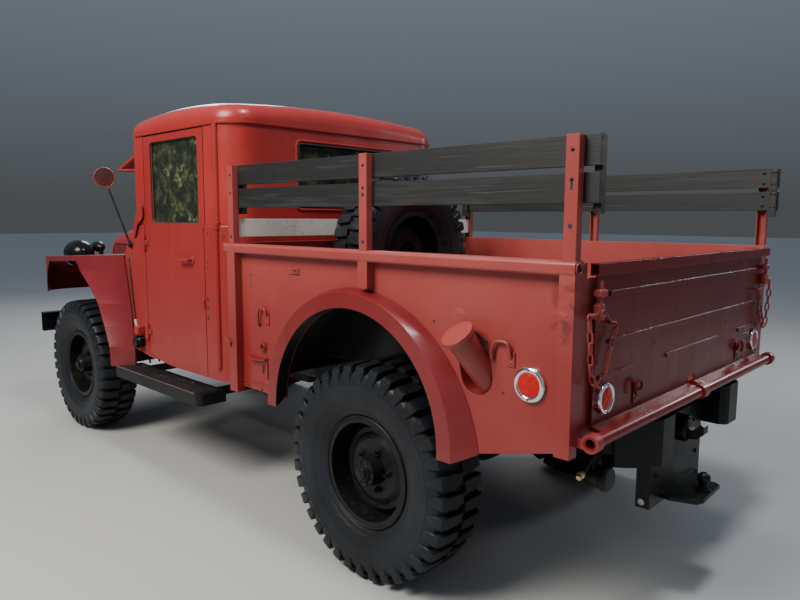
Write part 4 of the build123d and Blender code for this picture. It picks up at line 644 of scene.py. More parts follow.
def piece(name, shape, finish, body, stand_for=(), angle=38.0):
    """Put a shape into the scene: merged, faces outward, smooth up to an angle, riding on its body."""
    mesh = mesh_of(name, shape)
    tidy = bmesh.new()
    tidy.from_mesh(mesh)
    bmesh.ops.remove_doubles(tidy, verts=tidy.verts, dist=1e-6)
    bmesh.ops.dissolve_degenerate(tidy, edges=tidy.edges, dist=1e-7)
    bmesh.ops.recalc_face_normals(tidy, faces=tidy.faces)
    tidy.to_mesh(mesh)
    tidy.free()
    mesh.shade_smooth()
    mesh.set_sharp_from_angle(angle=math.radians(angle))
    mesh.materials.append(finish)
    made = into_scene(name, mesh)
    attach(made, body)
    if stand_for:
        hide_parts(*stand_for)
    return made


# Tyres: a round carcass, and two rows of lugs half a pitch apart that wrap over the shoulders.
LUGS = 36
LUG_SHARE = 0.64
LUG_DEPTH = 0.020
# The deepest that a lug's foot lies: radius, distance from the middle plane
LUG_FOOT = (0.412, 0.112)
# The carcass from its middle out to the bead: distance from the middle plane, radius
CARCASS = [(0.0, 0.4185), (0.040, 0.4175), (0.080, 0.4140), (0.100, 0.4080), (0.110, 0.3980),
           (0.1155, 0.3820), (0.1190, 0.3640), (0.1195, 0.3440), (0.1180, 0.3180), (0.1140, 0.2950),
           (0.1070, 0.2740), (0.0985, 0.2560), (0.0930, 0.2420), (0.0880, 0.2330), (0.0835, 0.2285)]
# The bore's half width and radius
CARCASS_BORE = (0.080, 0.2065)
# Raised rings on the sidewall: radius, width, height
SIDE_RINGS = [(0.352, 0.006, 0.0016), (0.300, 0.004, 0.0012), (0.262, 0.010, 0.0020)]
# A lug from near the middle down to the sidewall: distance out, radius, share of its full width
LUG_STATIONS = [(0.004, 0.4215, 0.92), (0.006, 0.4375, 0.80), (0.040, 0.4380, 1.0), (0.080, 0.4366, 1.0),
                (0.104, 0.4330, 0.98), (0.1125, 0.4270, 0.94), (0.1175, 0.4120, 0.86),
                (0.1205, 0.3920, 0.72), (0.1215, 0.3760, 0.58), (0.1190, 0.3660, 0.50)]
# A lug's section: place across it, drop below its face, 1 at its foot
LUG_SECTION = [(-1.12, 0.0, 1), (-1.0, 0.0025, 0), (-0.9, 0.0, 0),
               (0.9, 0.0, 0), (1.0, 0.0025, 0), (1.12, 0.0, 1)]


def carcass(sides=144):
    """The tyre's body: the half section, smoothed by interpolation, with rings added as narrow bells."""
    x, radius = np.array(CARCASS).T
    steps = np.linspace(0, len(x) - 1, 64)
    kernel = np.array([1, 2, 3, 2, 1]) / 9.0
    out, high = (np.interp(steps, np.arange(len(x)), line) for line in (x, radius))
    for line in (out, high):
        line[2:-2] = np.convolve(line, kernel, "same")[2:-2]
    for ring, width, height in SIDE_RINGS:
        out = out + height * np.exp(-(((high - ring) / width) ** 4)) * (out > 0.09)
    bore, radius = CARCASS_BORE
    loop = [*zip(high[::-1], -out[::-1]), *list(zip(high, out))[1:], (radius, bore), (radius, -bore)]
    return turned(loop, axis=OUT, sides=sides, ring=True)


def lug_row(side):
    """One row of lugs: each a strip from near the middle, over the shoulder and down the sidewall.

    The strip's outer face follows the tread's crown, then drops round the shoulder; its width
    narrows down the sidewall, and its foot lies inside the carcass.
    """
    out, high, share = np.array(LUG_STATIONS).T
    turn, drop, low = np.array(LUG_SECTION).T
    pitch = TAU / LUGS
    centre = np.arange(LUGS) * pitch + (0.0 if side > 0 else pitch / 2)
    half = share * pitch * LUG_SHARE / 2
    foot, foot_out = np.minimum(high - LUG_DEPTH, LUG_FOOT[0]), np.minimum(out, LUG_FOOT[1])
    angle = centre[:, None, None] + half[:, None] * turn
    radius = np.where(low > 0, foot[:, None], high[:, None] - drop)
    x = np.broadcast_to(np.where(low > 0, foot_out[:, None], out[:, None]), angle.shape)
    points = np.stack([side * x, radius * np.sin(angle), -radius * np.cos(angle)], -1)
    _, strip = capped(None, len(out), len(turn))
    faces = [[lug * len(out) * len(turn) + i for i in face] for lug in range(LUGS) for face in strip]
    return points.reshape(-1, 3), faces


def wheels():
    """Each road wheel's place by name, its centre, and the turn that faces its disc outwards."""
    for side, sign in (("left", 1), ("right", -1)):
        for end in ("front", "rear"):
            yield f"{end}_{side}", JOINTS[f"wheel_{end}_{side}"]["pos_m"], np.diag([sign, sign, 1.0])


def make_tyres():
    """Four road tyres on their wheels, and the spare upright in the bed with its disc aft."""
    shape = merged([carcass(), lug_row(1), lug_row(-1)])
    for place, centre, turn in wheels():
        piece(f"lugged_tyre_{place}", moved(shape, centre, turn), TYRE, f"wheel_{place}",
              [f"tyre_{place}"], 32.0)
    low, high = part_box("spare_tyre")
    quarter = [(0, -1, 0), (1, 0, 0), (0, 0, 1)]
    piece("lugged_spare_tyre", moved(shape, (low + high) / 2, quarter), SPARE_RUBBER, "chassis",
          ["spare_tyre"], 32.0)


# Faces and levels of the solids: x of the sides, y of the bed's walls and the gate's skin, heights
CAB_SIDE, TOP_SIDE, BED_SIDE = 0.800, 0.792, 0.8695
BED_FRONT = back(1935)
BED_REAR = back(3757)
TAIL_SKIN = back(3768.3)
BED_FLOOR, BED_RAIL, BELT = 0.815, 1.320, 1.395

# Wheels: radius of each circle of nuts and how far out it sits
STUDS = (0.0825, 0.034)
HUB_BOLTS = (0.047, 0.0902)


def on_circle(count, radius, x, start=0.0):
    """Even places on a circle round the x axis."""
    turns = (np.arange(count) + start) / count * TAU
    return [(x, radius * math.cos(turn), radius * math.sin(turn)) for turn in turns]


def wheel_trim():
    """Five wheel nuts, eight hub bolts, the axle's end cap and the split lock ring, about the x axis."""
    nuts, hub = on_circle(5, *STUDS), on_circle(8, *HUB_BOLTS, 0.5)
    stud_end = [(0, 0), (0.0065, 0), (0.0065, 0.015), (0.005, 0.017), (0, 0.017)]
    stud_ends = merged(turned(stud_end, (x + 0.010, y, z), OUT, 10) for x, y, z in nuts)
    lock_ring = rolled_ring(0.2225, 0.0885, 0.0050, 0.0042, sides=96, steps=10)
    cap = [(0, 0), (0.026, 0), (0.026, 0.006), (0.021, 0.010), (0, 0.011)]
    return merged([bolts(nuts, OUT, 0.0155), bolts(hub, OUT, 0.0068), stud_ends, lock_ring,
                   turned(cap, (0.1035, 0, 0), OUT, 24)])


def dress_wheels():
    """The same fittings on the disc of each road wheel."""
    shape = wheel_trim()
    for place, centre, turn in wheels():
        piece(f"nuts_{place}", moved(shape, centre, turn), BLACK, f"wheel_{place}")


# Cab
def rounded_loop(y0, y1, z0, z1, radius, x):
    """A rectangle with round corners, upright along the truck at one x."""
    y0, y1, z0, z1 = y0 + radius, y1 - radius, z0 + radius, z1 - radius
    corners = ((y1, z1, 0), (y0, z1, 90), (y0, z0, 180), (y1, z0, 270))
    return np.concatenate([arc((x, y, z), radius, start, start + 90, 7, AFT) for y, z, start in corners])


def across_loop(x0, x1, z0, z1, radius, y):
    """A rectangle with round corners, upright across the truck at one y."""
    return rounded_loop(x0, x1, z0, z1, radius, 0.0)[:, [1, 0, 2]] * (1, 0, 1) + (0, y, 0)


def seal(loop):
    """A rubber strip round an opening: a small circle carried round the loop."""
    return rod(loop, 0.0055, closed=True)


def window_seals():
    """Rubber round each pane, read from the panes' own boxes, and the raised frame round the rear one."""
    low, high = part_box("door_glass_left")
    door_seal = seal(rounded_loop(low.y, high.y, low.z, high.z, 0.022, high.x + 0.004))
    for side, hand in HANDS:
        piece(f"door_seal_{side}", hand(door_seal), RUBBER, f"door_{side}")
    half, foot, top, around = *REAR_WINDOW, 0.016
    rear = seal(across_loop(-half, half, foot, top, 0.015, CAB_REAR - 0.001))
    piece("rear_window_seal", rear, RUBBER, "chassis")
    frame_loop = across_loop(-half - around, half + around, foot - around, top + around, 0.028, CAB_REAR)
    piece("rear_window_frame", rod(frame_loop, 0.0075, 8, True), TOP_RED, "chassis")


DOOR_REAR_MM = 1542
CAB_REAR = back(1785)
CAB_CORNER = 0.170
GUTTER_Z = 1.912
# Half width, foot and top
REAR_WINDOW = (0.360, 1.500, 1.835)
# From its inner foot round its outer lip
GUTTER_SECTION = [(0.004, -0.005), (-0.006, -0.005), (-0.0085, -0.001), (-0.0085, 0.006), (-0.0065, 0.006),
                  (-0.005, 0.0005), (0.004, 0.0005)]


def straight_line(count, x, y, z):
    """Points on a straight line, of which one coordinate runs between a pair of values."""
    return np.stack([np.linspace(*(c if isinstance(c, tuple) else (c, c)), count) for c in (x, y, z)], -1)


def round_the_cab(x, y, z, start, count):
    """A line at one height: along the cab's side, round both rear corners, and back along the other side."""
    side = straight_line(count, x, (start, y - CAB_CORNER), z)
    corner = arc((x - CAB_CORNER, y - CAB_CORNER, z), CAB_CORNER, 0, 90, 14, OUT, AFT)
    half = np.concatenate([side, corner[1:], straight_line(8, (x - CAB_CORNER, 0), y, z)[1:]])
    return np.concatenate([half, (half * (-1, 1, 1))[::-1][1:]])


def roof_gutter():
    """The rain gutter: a lipped strip along both sides and round the cab's rear corners."""
    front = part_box("cab_top")[0].y + 0.10
    return swept(round_the_cab(TOP_SIDE + 0.002, CAB_REAR + 0.002, GUTTER_Z, front, 12), GUTTER_SECTION)


def quarter_bead():
    """The half-round moulding up the cab's rear quarter, with a sleeve where the hardtop stands."""
    y = back(1655)
    bars = ((CAB_SIDE - 0.008, 0.655, BELT + 0.004, 0.020),
            (TOP_SIDE - 0.008, BELT, GUTTER_Z - 0.006, 0.018),
            (CAB_SIDE - 0.010, BELT - 0.016, BELT + 0.020, 0.0235))
    return both_sides(merged(rod([(x, y, low), (x, y, high)], radius, 20) for x, low, high, radius in bars))


def belt_flange():
    """The rolled lip on which the hardtop stands, round sides and rear."""
    path = round_the_cab(CAB_SIDE - 0.004, CAB_REAR - 0.004, BELT - 0.003, back(DOOR_REAR_MM + 8), 8)
    return rod(path, 0.006)


def cab_hardware():
    """Bolts on the hardtop's corners and at the cowl's top."""
    heads = ((1580, BELT - 0.035), (1700, BELT - 0.035), (700, 1.215), (735, 1.300))
    return both_sides(bolts(places(*((CAB_SIDE, y, z) for y, z in heads)), OUT, 0.006))


def plugs(y, heights, radius, rise, sides=16):
    """Dark rubber plugs one above another, slightly domed and seated a fifth of their rise deep."""
    profile = [(0, 0), (radius, 0), (radius * 0.9, rise - 0.0005), (0, rise)]
    return merged(turned(profile, (CAB_SIDE - rise / 5, back(y), z), OUT, sides) for z in heights)


def jamb_holes():
    """Three large and two small plugs in the door jamb."""
    return both_sides(plugs(1566, (1.014, 0.965, 0.913), 0.0095, 0.0025),
                      plugs(1574, (1.205, 1.182), 0.0055, 0.0025))


def side_plate(y0, y1, z0, z1, thick, edge=0.0015, x=BED_SIDE):
    """A flat plate on the bed's side, or on another upright face, sunk 1 mm into it."""
    return chamfered(*places((x - 0.001, y0, z0), (x + thick, y1, z1)), edge)


def door_trim():
    """The handle's round rose, the lock below it and its keeper."""
    rose = [(0, 0), (0.024, 0), (0.023, 0.004), (0.014, 0.008), (0, 0.008)]
    lock = [(0, 0), (0.013, 0), (0.0125, 0.005), (0.009, 0.007), (0.0085, 0.0055), (0, 0.0055)]
    return merged([turned(rose, (CAB_SIDE, back(1419), 1.213), OUT, 28),
                   turned(lock, (CAB_SIDE, back(1525), 1.000), OUT, 24),
                   side_plate(1525, 1541, 0.960, 0.985, 0.006, 0.002, CAB_SIDE)])


def hinge_bolts():
    """Bolts on each door hinge's leaf."""
    heads = [(CAB_SIDE + 0.0062, back(907), z0 + dz) for z0 in (0.760, 1.290) for dz in (-0.008, 0.008)]
    return bolts(heads, OUT, 0.0045)


def dress_doors():
    """On each door: handle and lock, hinge bolts, and four small plugs down its front edge."""
    plug = plugs(884, (1.115, 1.043, 0.940, 0.867), 0.005, 0.002, 12)
    for side, hand in HANDS:
        for name, shape, finish, slot in (
            ("door_trim", door_trim(), RED, "red_paint"), ("hinge_bolts", hinge_bolts(), RED, "red_paint"),
            ("door_plugs", plug, RUBBER, "tyre_rubber"),
        ):
            piece(f"{name}_{side}", hand(shape), finish, f"door_{side}")


# The arm's outline on the cowl: distance behind the front axle in millimetres, height
ARM_OUTLINE = [(866, 1.498), (865, 1.440), (826, 1.412), (776, 1.374), (748, 1.366), (747, 1.392),
               (776, 1.448), (808, 1.498), (840, 1.516), (866, 1.498)]


def cowl_arm():
    """The windshield's swinging arm plate at each post's foot, and the bent bracket that carries it."""
    outline = smooth_path(ARM_OUTLINE, 5)[:-1]
    middle = outline.mean(0)
    rings = []
    for x, share in ((0.801, 0.97), (0.802, 1.0), (0.806, 1.0), (0.807, 0.96)):
        along, up = (middle + (outline - middle) * share).T
        rings.append(np.stack([np.full(len(outline), x), back(along), up], -1))
    plate = capped(np.concatenate(rings), 4, len(outline))
    bracket = places((0.809, 842, 1.430), (0.813, 806, 1.404), (0.813, 772, 1.345), (0.808, 748, 1.322))
    heads = bolts(places((0.807, 836, 1.480), (0.815, 788, 1.372)), OUT, 0.006)
    return both_sides(plate, swept(bracket, strap_section(0.003, 0.012)), heads)


def cowl_hose():
    """The black hose down the left of the cowl, and its pale sleeve at the lower end."""
    hose = places((0.801, 655, 1.190), (0.805, 668, 1.100), (0.806, 679, 1.037),
                  (0.806, 700, 0.900), (0.805, 722, 0.785), (0.804, 738, 0.745))
    sleeve = places((0.8055, 716, 0.815), (0.8045, 728, 0.770))
    return rod(smooth_path(hose), 0.005, 10), rod(sleeve, 0.0068, 12)


MIRROR_TURN = math.radians(14)


def mirror_glass():
    """The mirror's glass, which faces the driver, and its rim."""
    axis = (math.sin(MIRROR_TURN), math.cos(MIRROR_TURN), 0.0)
    seat = np.array(MIRROR_CENTRE) + np.array(axis) * 0.0125
    glass = [(0, 0), (0.0555, 0), (0.0555, 0.0012), (0.045, 0.0021), (0.02, 0.0028), (0, 0.003)]
    rim = rolled_ring(0.0575, 0.001, 0.0035, 0.0025, seat, axis, 56)
    return both_sides(turned(glass, seat, axis, 48)), both_sides(rim)


def mirror_clamp():
    """The nut and washer that clamp each mirror's arm to the cowl."""
    return both_sides(bolt((CAB_SIDE + 0.014, back(700), 1.270), OUT, 0.013))


# Running boards
BOARD_TOP = 0.524


def board_tread():
    """Rows of small raised bars on the board's top, and a worn steel edging."""
    bars = []
    for row, x in enumerate(np.linspace(0.770, 0.884, 9)):
        for y in np.arange(back(700), back(1575), 0.030):
            bars.append(chamfered((x - 0.0045, y - 0.012 + 0.004 * (row % 2), BOARD_TOP - 0.001),
                                  (x + 0.0045, y + 0.012, BOARD_TOP + 0.0028), 0.0012))
    edging = chamfered(*places((0.893, 646, BOARD_TOP - 0.0005), (0.9045, 1575, BOARD_TOP + 0.002)), 0.0008)
    return both_sides(*bars), both_sides(edging)


def cowl_lamp():
    """The black round lamp low on the cowl, and its red bracket above."""
    centre = (CAB_SIDE + 0.002, back(800), 0.690)
    body = [(0, 0), (0.034, 0), (0.036, 0.010), (0.034, 0.040), (0.028, 0.052), (0.0, 0.055)]
    lamp = merged([turned(body, centre, OUT), rolled_ring(0.0385, 0.030, 0.003, 0.004, centre)])
    return lamp, side_plate(775, 825, 0.735, 0.785, 0.045, 0.004, CAB_SIDE)


# Bed. A stake's outer face, and the stakes' distances behind the front axle
STAKE_FACE = 0.9045
STAKES = (1970, 2868, 3733)


def lashing_loops():
    """Hooks for the tarpaulin's rope: a bent bar standing on the side beside a strap with two rivets."""
    x = BED_SIDE
    made = []
    # Along the truck: the bar's foot, its crown and the strap; upward: crown, foot, strap's ends
    for foot_y, crown_y, strap_y, crown, foot, high, low in (
        (2142, 2172, 2202, 1.032, 0.949, 1.016, 0.956), (3454, 3490, 3524, 1.051, 0.987, 1.020, 0.971),
    ):
        bar = places((x - 0.002, foot_y, foot), (x + 0.012, foot_y, foot + 0.006),
                     (x + 0.013, foot_y, crown - 0.030), (x + 0.013, foot_y + 12, crown - 0.005),
                     (x + 0.013, crown_y, crown), (x + 0.013, strap_y - 10, crown - 0.005),
                     (x + 0.012, strap_y, high - 0.006), (x + 0.004, strap_y, high - 0.020))
        heads = places((x + 0.005, strap_y, low + 0.014), (x + 0.005, strap_y, high - 0.018))
        made += [rod(smooth_path(bar), 0.0055), side_plate(strap_y - 13, strap_y + 13, low, high, 0.005),
                 bolts(heads, OUT, 0.005, rivet)]
    return both_sides(*made)


def side_fittings():
    """On each side: an eye, a shelf on a slotted web, a strap loop, the bolted hem, and the post's clip."""
    x = BED_SIDE
    eye = wire_ring((x + 0.008, back(2167), 0.850), 0.017, 0.0045, AFT)
    eye_plate = side_plate(2150, 2190, 0.822, 0.838, 0.003, 0.001)
    shelf = swept(places((x + 0.010, 2059, 0.793), (x + 0.010, 2110, 0.784), (x + 0.010, 2196, 0.795)),
                  strap_section(0.011, 0.003))
    web = side_plate(2186, 2198, 0.702, 0.790, 0.006, 0.002)
    hem = chamfered(*places((x - 0.0005, 1999, 0.664), (x + 0.004, 2198, 0.674)), 0.0015)
    feet = bolts(places((x + 0.001, 2038, 0.650), (x + 0.001, 2144, 0.646)), OUT, 0.0065)
    pad = side_plate(2364, 2438, 1.198, 1.228, 0.004)
    corners = ((2392, 1.222), (2392, 1.204), (2428, 1.204), (2428, 1.222))
    loop = rod(places(*((x + 0.004, y, z) for y, z in corners)), 0.0035, 8, True)
    clip = swept(places((0.880, 1846, 0.888), (0.896, 1874, 0.874), (0.911, 1922, 0.852),
                        (0.911, 1956, 0.841)), strap_section(0.004, 0.013))
    clip_head = rivet((0.914, back(1942), 0.846), OUT, 0.008)
    return both_sides(eye, eye_plate, shelf, web, hem, feet, pad, loop, clip, clip_head)


def side_slot_shades():
    """Dark marks that paint the shade in openings: three slots, small holes by the front post and behind the
    filler, and stake holes.
    """
    x = BED_SIDE
    slots = (((x + 0.0055, 2158, 0.728), (x + 0.0066, 2166, 0.766)),
             ((x + 0.0035, 2404, 1.206), (x + 0.0046, 2418, 1.220)),
             ((STAKE_FACE - 0.001, 3729, 1.522), (STAKE_FACE + 0.0006, 3737, 1.554)))
    dots = ((2073, 1.176), (2072, 1.125), (3195, 1.083), (3425, 1.039), (3493, 0.881))
    holes = ((2868, 1.527), (2868, 1.352), (3733, 1.420), (1970, 1.352))
    # Dark discs: painted shade inside the holes
    discs = [disc(radius, 0.0006, (face, back(y), z), OUT, 14, -0.001)
             for face, radius, spots in ((x, 0.005, dots), (STAKE_FACE, 0.0075, holes)) for y, z in spots]
    return both_sides(*(chamfered(*places(*corners), 0.0005) for corners in slots), *discs)


def rack_bolts():
    """Carriage bolts that hold each board to each stake, with small round heads on both faces."""
    inner = [(0.8532, back(y) + 0.006, z) for y in STAKES for z in (1.506, 1.551, 1.611, 1.657)]
    outer = [(STAKE_FACE, back(y), z) for y in STAKES for z in (1.551, 1.634)]
    return both_sides(bolts(inner, (-1, 0, 0), 0.0075, rivet), bolts(outer, OUT, 0.006, rivet))


def cleat_screws():
    """The screws of the cleats at both ends of the side boards."""
    screws = [(0.832, back(y) + dy, z) for y in (1978, 3788) for dy in (-0.008, 0.008)
              for z in (1.500, 1.560, 1.605, 1.660)]
    return both_sides(bolts(screws, (-1, 0, 0), 0.0045, rivet))


def floor_strips():
    """Skid strips along the bed's floor: low crowned bars, and their bolts."""
    made = []
    low, top, stop = BED_FLOOR - 0.001, BED_FLOOR + 0.005, BED_REAR - 0.015
    for x in np.linspace(-0.56, 0.56, 9):
        # The spare stands in front of all but the two leftmost strips
        start = back(2240) if x < 0.36 else BED_FRONT + 0.02
        made.append(chamfered((x - 0.030, start, low), (x + 0.030, stop, top), 0.004))
        heads = [(x, y, top) for y in np.linspace(start + 0.06, BED_REAR - 0.07, 5)]
        made.append(bolts(heads, UP, 0.008, rivet))
    return merged(made)


def front_wall_ribs():
    """Pressed ribs down the bed's front wall, on its inside."""
    y, low, high = BED_FRONT + 0.006, BED_FLOOR + 0.02, BED_RAIL - 0.06
    return merged(chamfered((x - 0.014, y - 0.001, low), (x + 0.014, y + 0.008, high), 0.006)
                  for x in (-0.72, 0.36, 0.66))


def rail_ends():
    """The open end of each side's top rail: a rolled rim round a dark disc, painted shade inside the hole.
    """
    centre = (0.8905, BED_REAR, 1.298)
    rim = rolled_ring(0.0155, 0.0015, 0.003, 0.003, centre, AFT, 28)
    # The dark disc is painted shade inside the hole
    return both_sides(rim), both_sides(disc(0.0145, 0.0008, centre, AFT, 24))


# Seats: pads blown up by the Cloth solver over plain bases
PAD_VOXEL = 0.008
PAD_SWELL = 0.024
PAD_PRESSURE = 4.0
PAD_FRAMES = 20
# A seam's depth and half width, and how far in from the outer side it fades out
SEAM_DEPTH, SEAM_WIDTH, SEAM_FADE = 0.007, 0.009, 0.03
# Both pads' sides; a cushion's height and drop to the rear; how far a back leans
SEAT_SIDES = (0.090, 0.640)
CUSHION_LEVELS = (0.895, 1.046)
CUSHION_DROP = 0.026
BACK_LEAN = 0.066
CAB_FLOOR = 0.7545


def pad_points(low, high):
    """A block remeshed with small voxels, then filled with air until it crowns, never past its own cap."""
    points, faces = chamfered(np.add(low, PAD_SWELL * 0.6), np.subtract(high, PAD_SWELL * 0.6), 0.02)
    blank = into_scene("pad_blank", mesh_of("pad_blank", (points, faces)))
    remesh = blank.modifiers.new("remesh", "REMESH")
    remesh.mode, remesh.voxel_size = "VOXEL", PAD_VOXEL
    settled(blank)
    rest = coordinates(blank.data)
    faces = [list(face.vertices) for face in blank.data.polygons]
    cloth = blank.modifiers.new("cloth", "CLOTH")
    cloth.settings.use_pressure = True
    cloth.settings.uniform_pressure_force = PAD_PRESSURE
    cloth.settings.effector_weights.gravity = 0.0
    for step in range(1, PAD_FRAMES + 1):
        bpy.context.scene.frame_set(step)
    settled(blank)
    bpy.context.scene.frame_set(1)
    shift = coordinates(blank.data) - rest
    reach = np.linalg.norm(shift, axis=1)[:, None]
    shift = shift * np.minimum(1.0, PAD_SWELL / np.maximum(reach, 1e-9))
    bpy.data.objects.remove(blank)
    return np.clip(rest + shift, low, high), faces


def settled(made):
    """Apply an object's modifiers to its mesh, and take them off it."""
    drawn = made.evaluated_get(bpy.context.evaluated_depsgraph_get())
    made.data = bpy.data.meshes.new_from_object(drawn)
    made.modifiers.clear()


def coordinates(mesh):
    """A mesh's points as rows."""
    flat = np.empty(len(mesh.vertices) * 3)
    mesh.vertices.foreach_get("co", flat)
    return flat.reshape(-1, 3)


def creased(points, seams, side, level, inward):
    """Sewn channels: the outer side is drawn in along each seam, deepest on the seam as a bell curve is."""
    points = points.copy()
    for seam in seams:
        bell = np.exp(-(((points[:, 0] - seam) / SEAM_WIDTH) ** 2))
        share = np.clip((points[:, side] - level) * -inward / SEAM_FADE, 0.0, 1.0)
        points[:, side] += inward * SEAM_DEPTH * bell * share
    return points


def make_seats():
    """Two bucket seats: a crowned cushion and a leaning back each, sewn in channels, on dark boxes."""
    x0, x1 = SEAT_SIDES
    channels = np.linspace(x0, x1, 6)[1:-1]
    foot, top = CUSHION_LEVELS
    cushion, cushion_faces = pad_points((x0, back(1150), foot), (x1, back(1600), top))
    cushion = creased(cushion, channels, 2, 1.0, -1.0)
    drop = np.clip((cushion[:, 1] - back(1180)) / 0.42, 0, 1) * CUSHION_DROP
    cushion[:, 2] -= drop * (cushion[:, 2] - foot) / (top - foot)
    rest, rest_faces = pad_points((x0, 0.0, 1.030), (x1, 0.078, 1.498))
    rest = creased(rest, channels, 1, 0.02, 1.0)
    rest[:, 1] += back(1523) + (rest[:, 2] - 1.080) / 0.420 * BACK_LEAN
    for side, hand in HANDS:
        for name, shape in (("cushion", (cushion, cushion_faces)), ("back", (rest, rest_faces))):
            made = piece(f"seat_{name}_{side}", hand(shape), CANVAS, "chassis", ["seats"],
                         180.0)
            finer = made.modifiers.new("finer", "SUBSURF")
            finer.levels = finer.render_levels = 1
    box = chamfered(*places((x0 + 0.02, 1170, CAB_FLOOR), (x1 - 0.02, 1585, 0.894)), 0.006)
    shell = chamfered(*places((x0 + 0.01, 1612, 0.900), (x1 - 0.01, 1672, 1.300)), 0.012)
    piece("seat_frames", both_sides(box, shell), CHASSIS_BLACK, "chassis", ["seats"])


KNOB = [(0, 0), (0.012, 0.004), (0.021, 0.016), (0.023, 0.028), (0.018, 0.040), (0.008, 0.047), (0, 0.048)]
BOOT = [(0, 0), (0.075, 0), (0.070, 0.010), (0.045, 0.020), (0.038, 0.040), (0.020, 0.055), (0.012, 0.080),
        (0, 0.08)]


def cab_inside():
    """The gear lever and its boot, the hand brake and three pedals."""
    x, y = 0.020, back(1010)
    bend = smooth_path([(x, y, 0.760), (x + 0.01, y + 0.02, 0.95), (x + 0.03, y + 0.05, 1.14)])
    lever = rod(bend, 0.007, 10)
    knob = turned(KNOB, (x + 0.03, y + 0.05, 1.130), (0, 0.1, 1.0), 20)
    boot = turned(BOOT, (x, y, CAB_FLOOR), sides=28)
    brake = rod(places((0.045, 1120, CAB_FLOOR), (0.040, 1080, 1.050)), 0.009, 10)
    grip = rod(places((0.040, 1082, 1.035), (0.039, 1070, 1.120)), 0.014, 12)
    pad = moved(chamfered((-0.035, -0.006, -0.030), (0.035, 0.006, 0.030), 0.003), (0, back(904), 0.868),
                [(1, 0, 0), (0, 0.85, -0.53), (0, 0.53, 0.85)])
    stem = rod(places((0, 860, CAB_FLOOR), (0, 900, 0.860)), 0.007)
    pedals = [moved(part, (x, 0, 0)) for x in (0.250, 0.360, 0.480) for part in (stem, pad)]
    return merged([lever, knob, boot, brake, grip, *pedals])


# Reflectors
def lens_grid(centre, axis, radius, rise, rings=12, sectors=64):
    """A domed lens: height falls off with the square of the radius, and eight sectors fold it to a star."""
    r = np.linspace(0.02, 1.0, rings)[:, None]
    angle = (np.arange(sectors) / sectors * TAU)[None, :]
    fold = 2.8 * np.abs(((angle * 4 / math.pi) % 2) - 1) * r
    height = rise * (1.15 - r**2 + fold * (1 - r))
    dome = np.stack([radius * r * np.cos(angle), radius * r * np.sin(angle), height], -1)
    skirt = np.stack([radius * np.cos(angle), radius * np.sin(angle), np.full(angle.shape, -rise)], -1)
    shape = capped(np.concatenate([dome, skirt]).reshape(-1, 3), rings + 1, sectors)
    return moved(shape, centre, basis(axis))


def scaled(profile, radius):
    """A profile whose radii are given as shares of one radius."""
    return [(share * radius, height) for share, height in profile]


BEZEL = [(0.72, 0.0), (1.0, 0.0), (1.0, 0.003), (0.95, 0.0062), (0.84, 0.0075), (0.75, 0.0060),
         (0.72, 0.0045)]


def reflector(centre, axis, radius):
    """A chromed bezel with a rolled rim, its red lens, and a dark screw above and below."""
    rim = turned(scaled(BEZEL, radius), centre, axis, 64, True)
    centre, direction = np.asarray(centre), np.asarray(axis, float)
    screws = [centre + direction * 0.0072 + (0, 0, radius * 0.86 * s) for s in (-1, 1)]
    lens = lens_grid(centre + direction * 0.003, axis, radius * 0.73, 0.0035)
    return rim, lens, bolts(screws, axis, 0.0036, rivet)


def make_reflectors():
    """The round reflectors on the bed's sides and on the gate, each on the face of its seat."""
    side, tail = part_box("side_reflectors")[1].x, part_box("tailgate_reflectors")[1].y
    for name, centre, axis, radius, body in (
        ("side", (side, back(3595), 0.927), OUT, 0.0555, "chassis"),
        ("tail", (0.728, tail, 0.890), AFT, 0.0495, "tailgate"),
    ):
        shapes = reflector(centre, axis, radius)
        for part, shape, finish in zip(("rims", "lenses", "screws"), shapes, (CHROME, LENS, IRON)):
            piece(f"{name}_reflector_{part}", both_sides(shape), finish, body)


LAMP_FACE = [(0, 0.009), (0.3, 0.0085), (0.6, 0.0065), (0.84, 0.003), (0.86, 0.0), (0, 0.0)]
LAMP_RIM = [(0.84, 0.0), (0.99, 0.0), (1.0, 0.003), (0.95, 0.0075), (0.87, 0.0075), (0.84, 0.004)]


def lamp_faces():
    """Clear lenses with upright flutes, and plated rims, on headlamps and marker lamps."""
    glasses, rims = [], []
    face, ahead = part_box("headlamps")[0].y - 0.0004, (0, -1, 0)
    for x, y, z, radius in ((0.668, face, 1.172, 0.096), (0.530, face + 0.020, 1.214, 0.042)):
        glasses.append(turned(scaled(LAMP_FACE, radius), (x, y, z), ahead, 48))
        rims.append(turned(scaled(LAMP_RIM, radius), (x, y, z), ahead, 56, True))
    return both_sides(*glasses), both_sides(*rims)


# Tailgate
def tail_hooks():
    """Two C-shaped rope hooks on the gate, each on a plate with two rivets."""
    x, y, z = 0.512, TAIL_SKIN, 0.876
    crown = arc((x + 0.002, y + 0.018, z + 0.012), 0.026, 175, -62, 14)
    bar = np.concatenate([[(x - 0.012, y - 0.001, z - 0.004), (x - 0.022, y + 0.014, z + 0.004)], crown])
    plate = chamfered((x - 0.017, y - 0.001, z - 0.044), (x + 0.012, y + 0.005, z + 0.028), 0.003)
    heads = [(x - 0.002, y + 0.005, z - 0.026), (x - 0.002, y + 0.005, z + 0.010)]
    return both_sides(rod(bar, 0.0055), plate, bolts(heads, AFT, 0.006, rivet))


def corner_sheets():
    """The folded sheets that close the bed's rear corners behind the gate's ends."""
    return both_sides(chamfered(*places((0.768, 3750, 0.816), (0.8475, 3754, 1.268)), 0.0015))


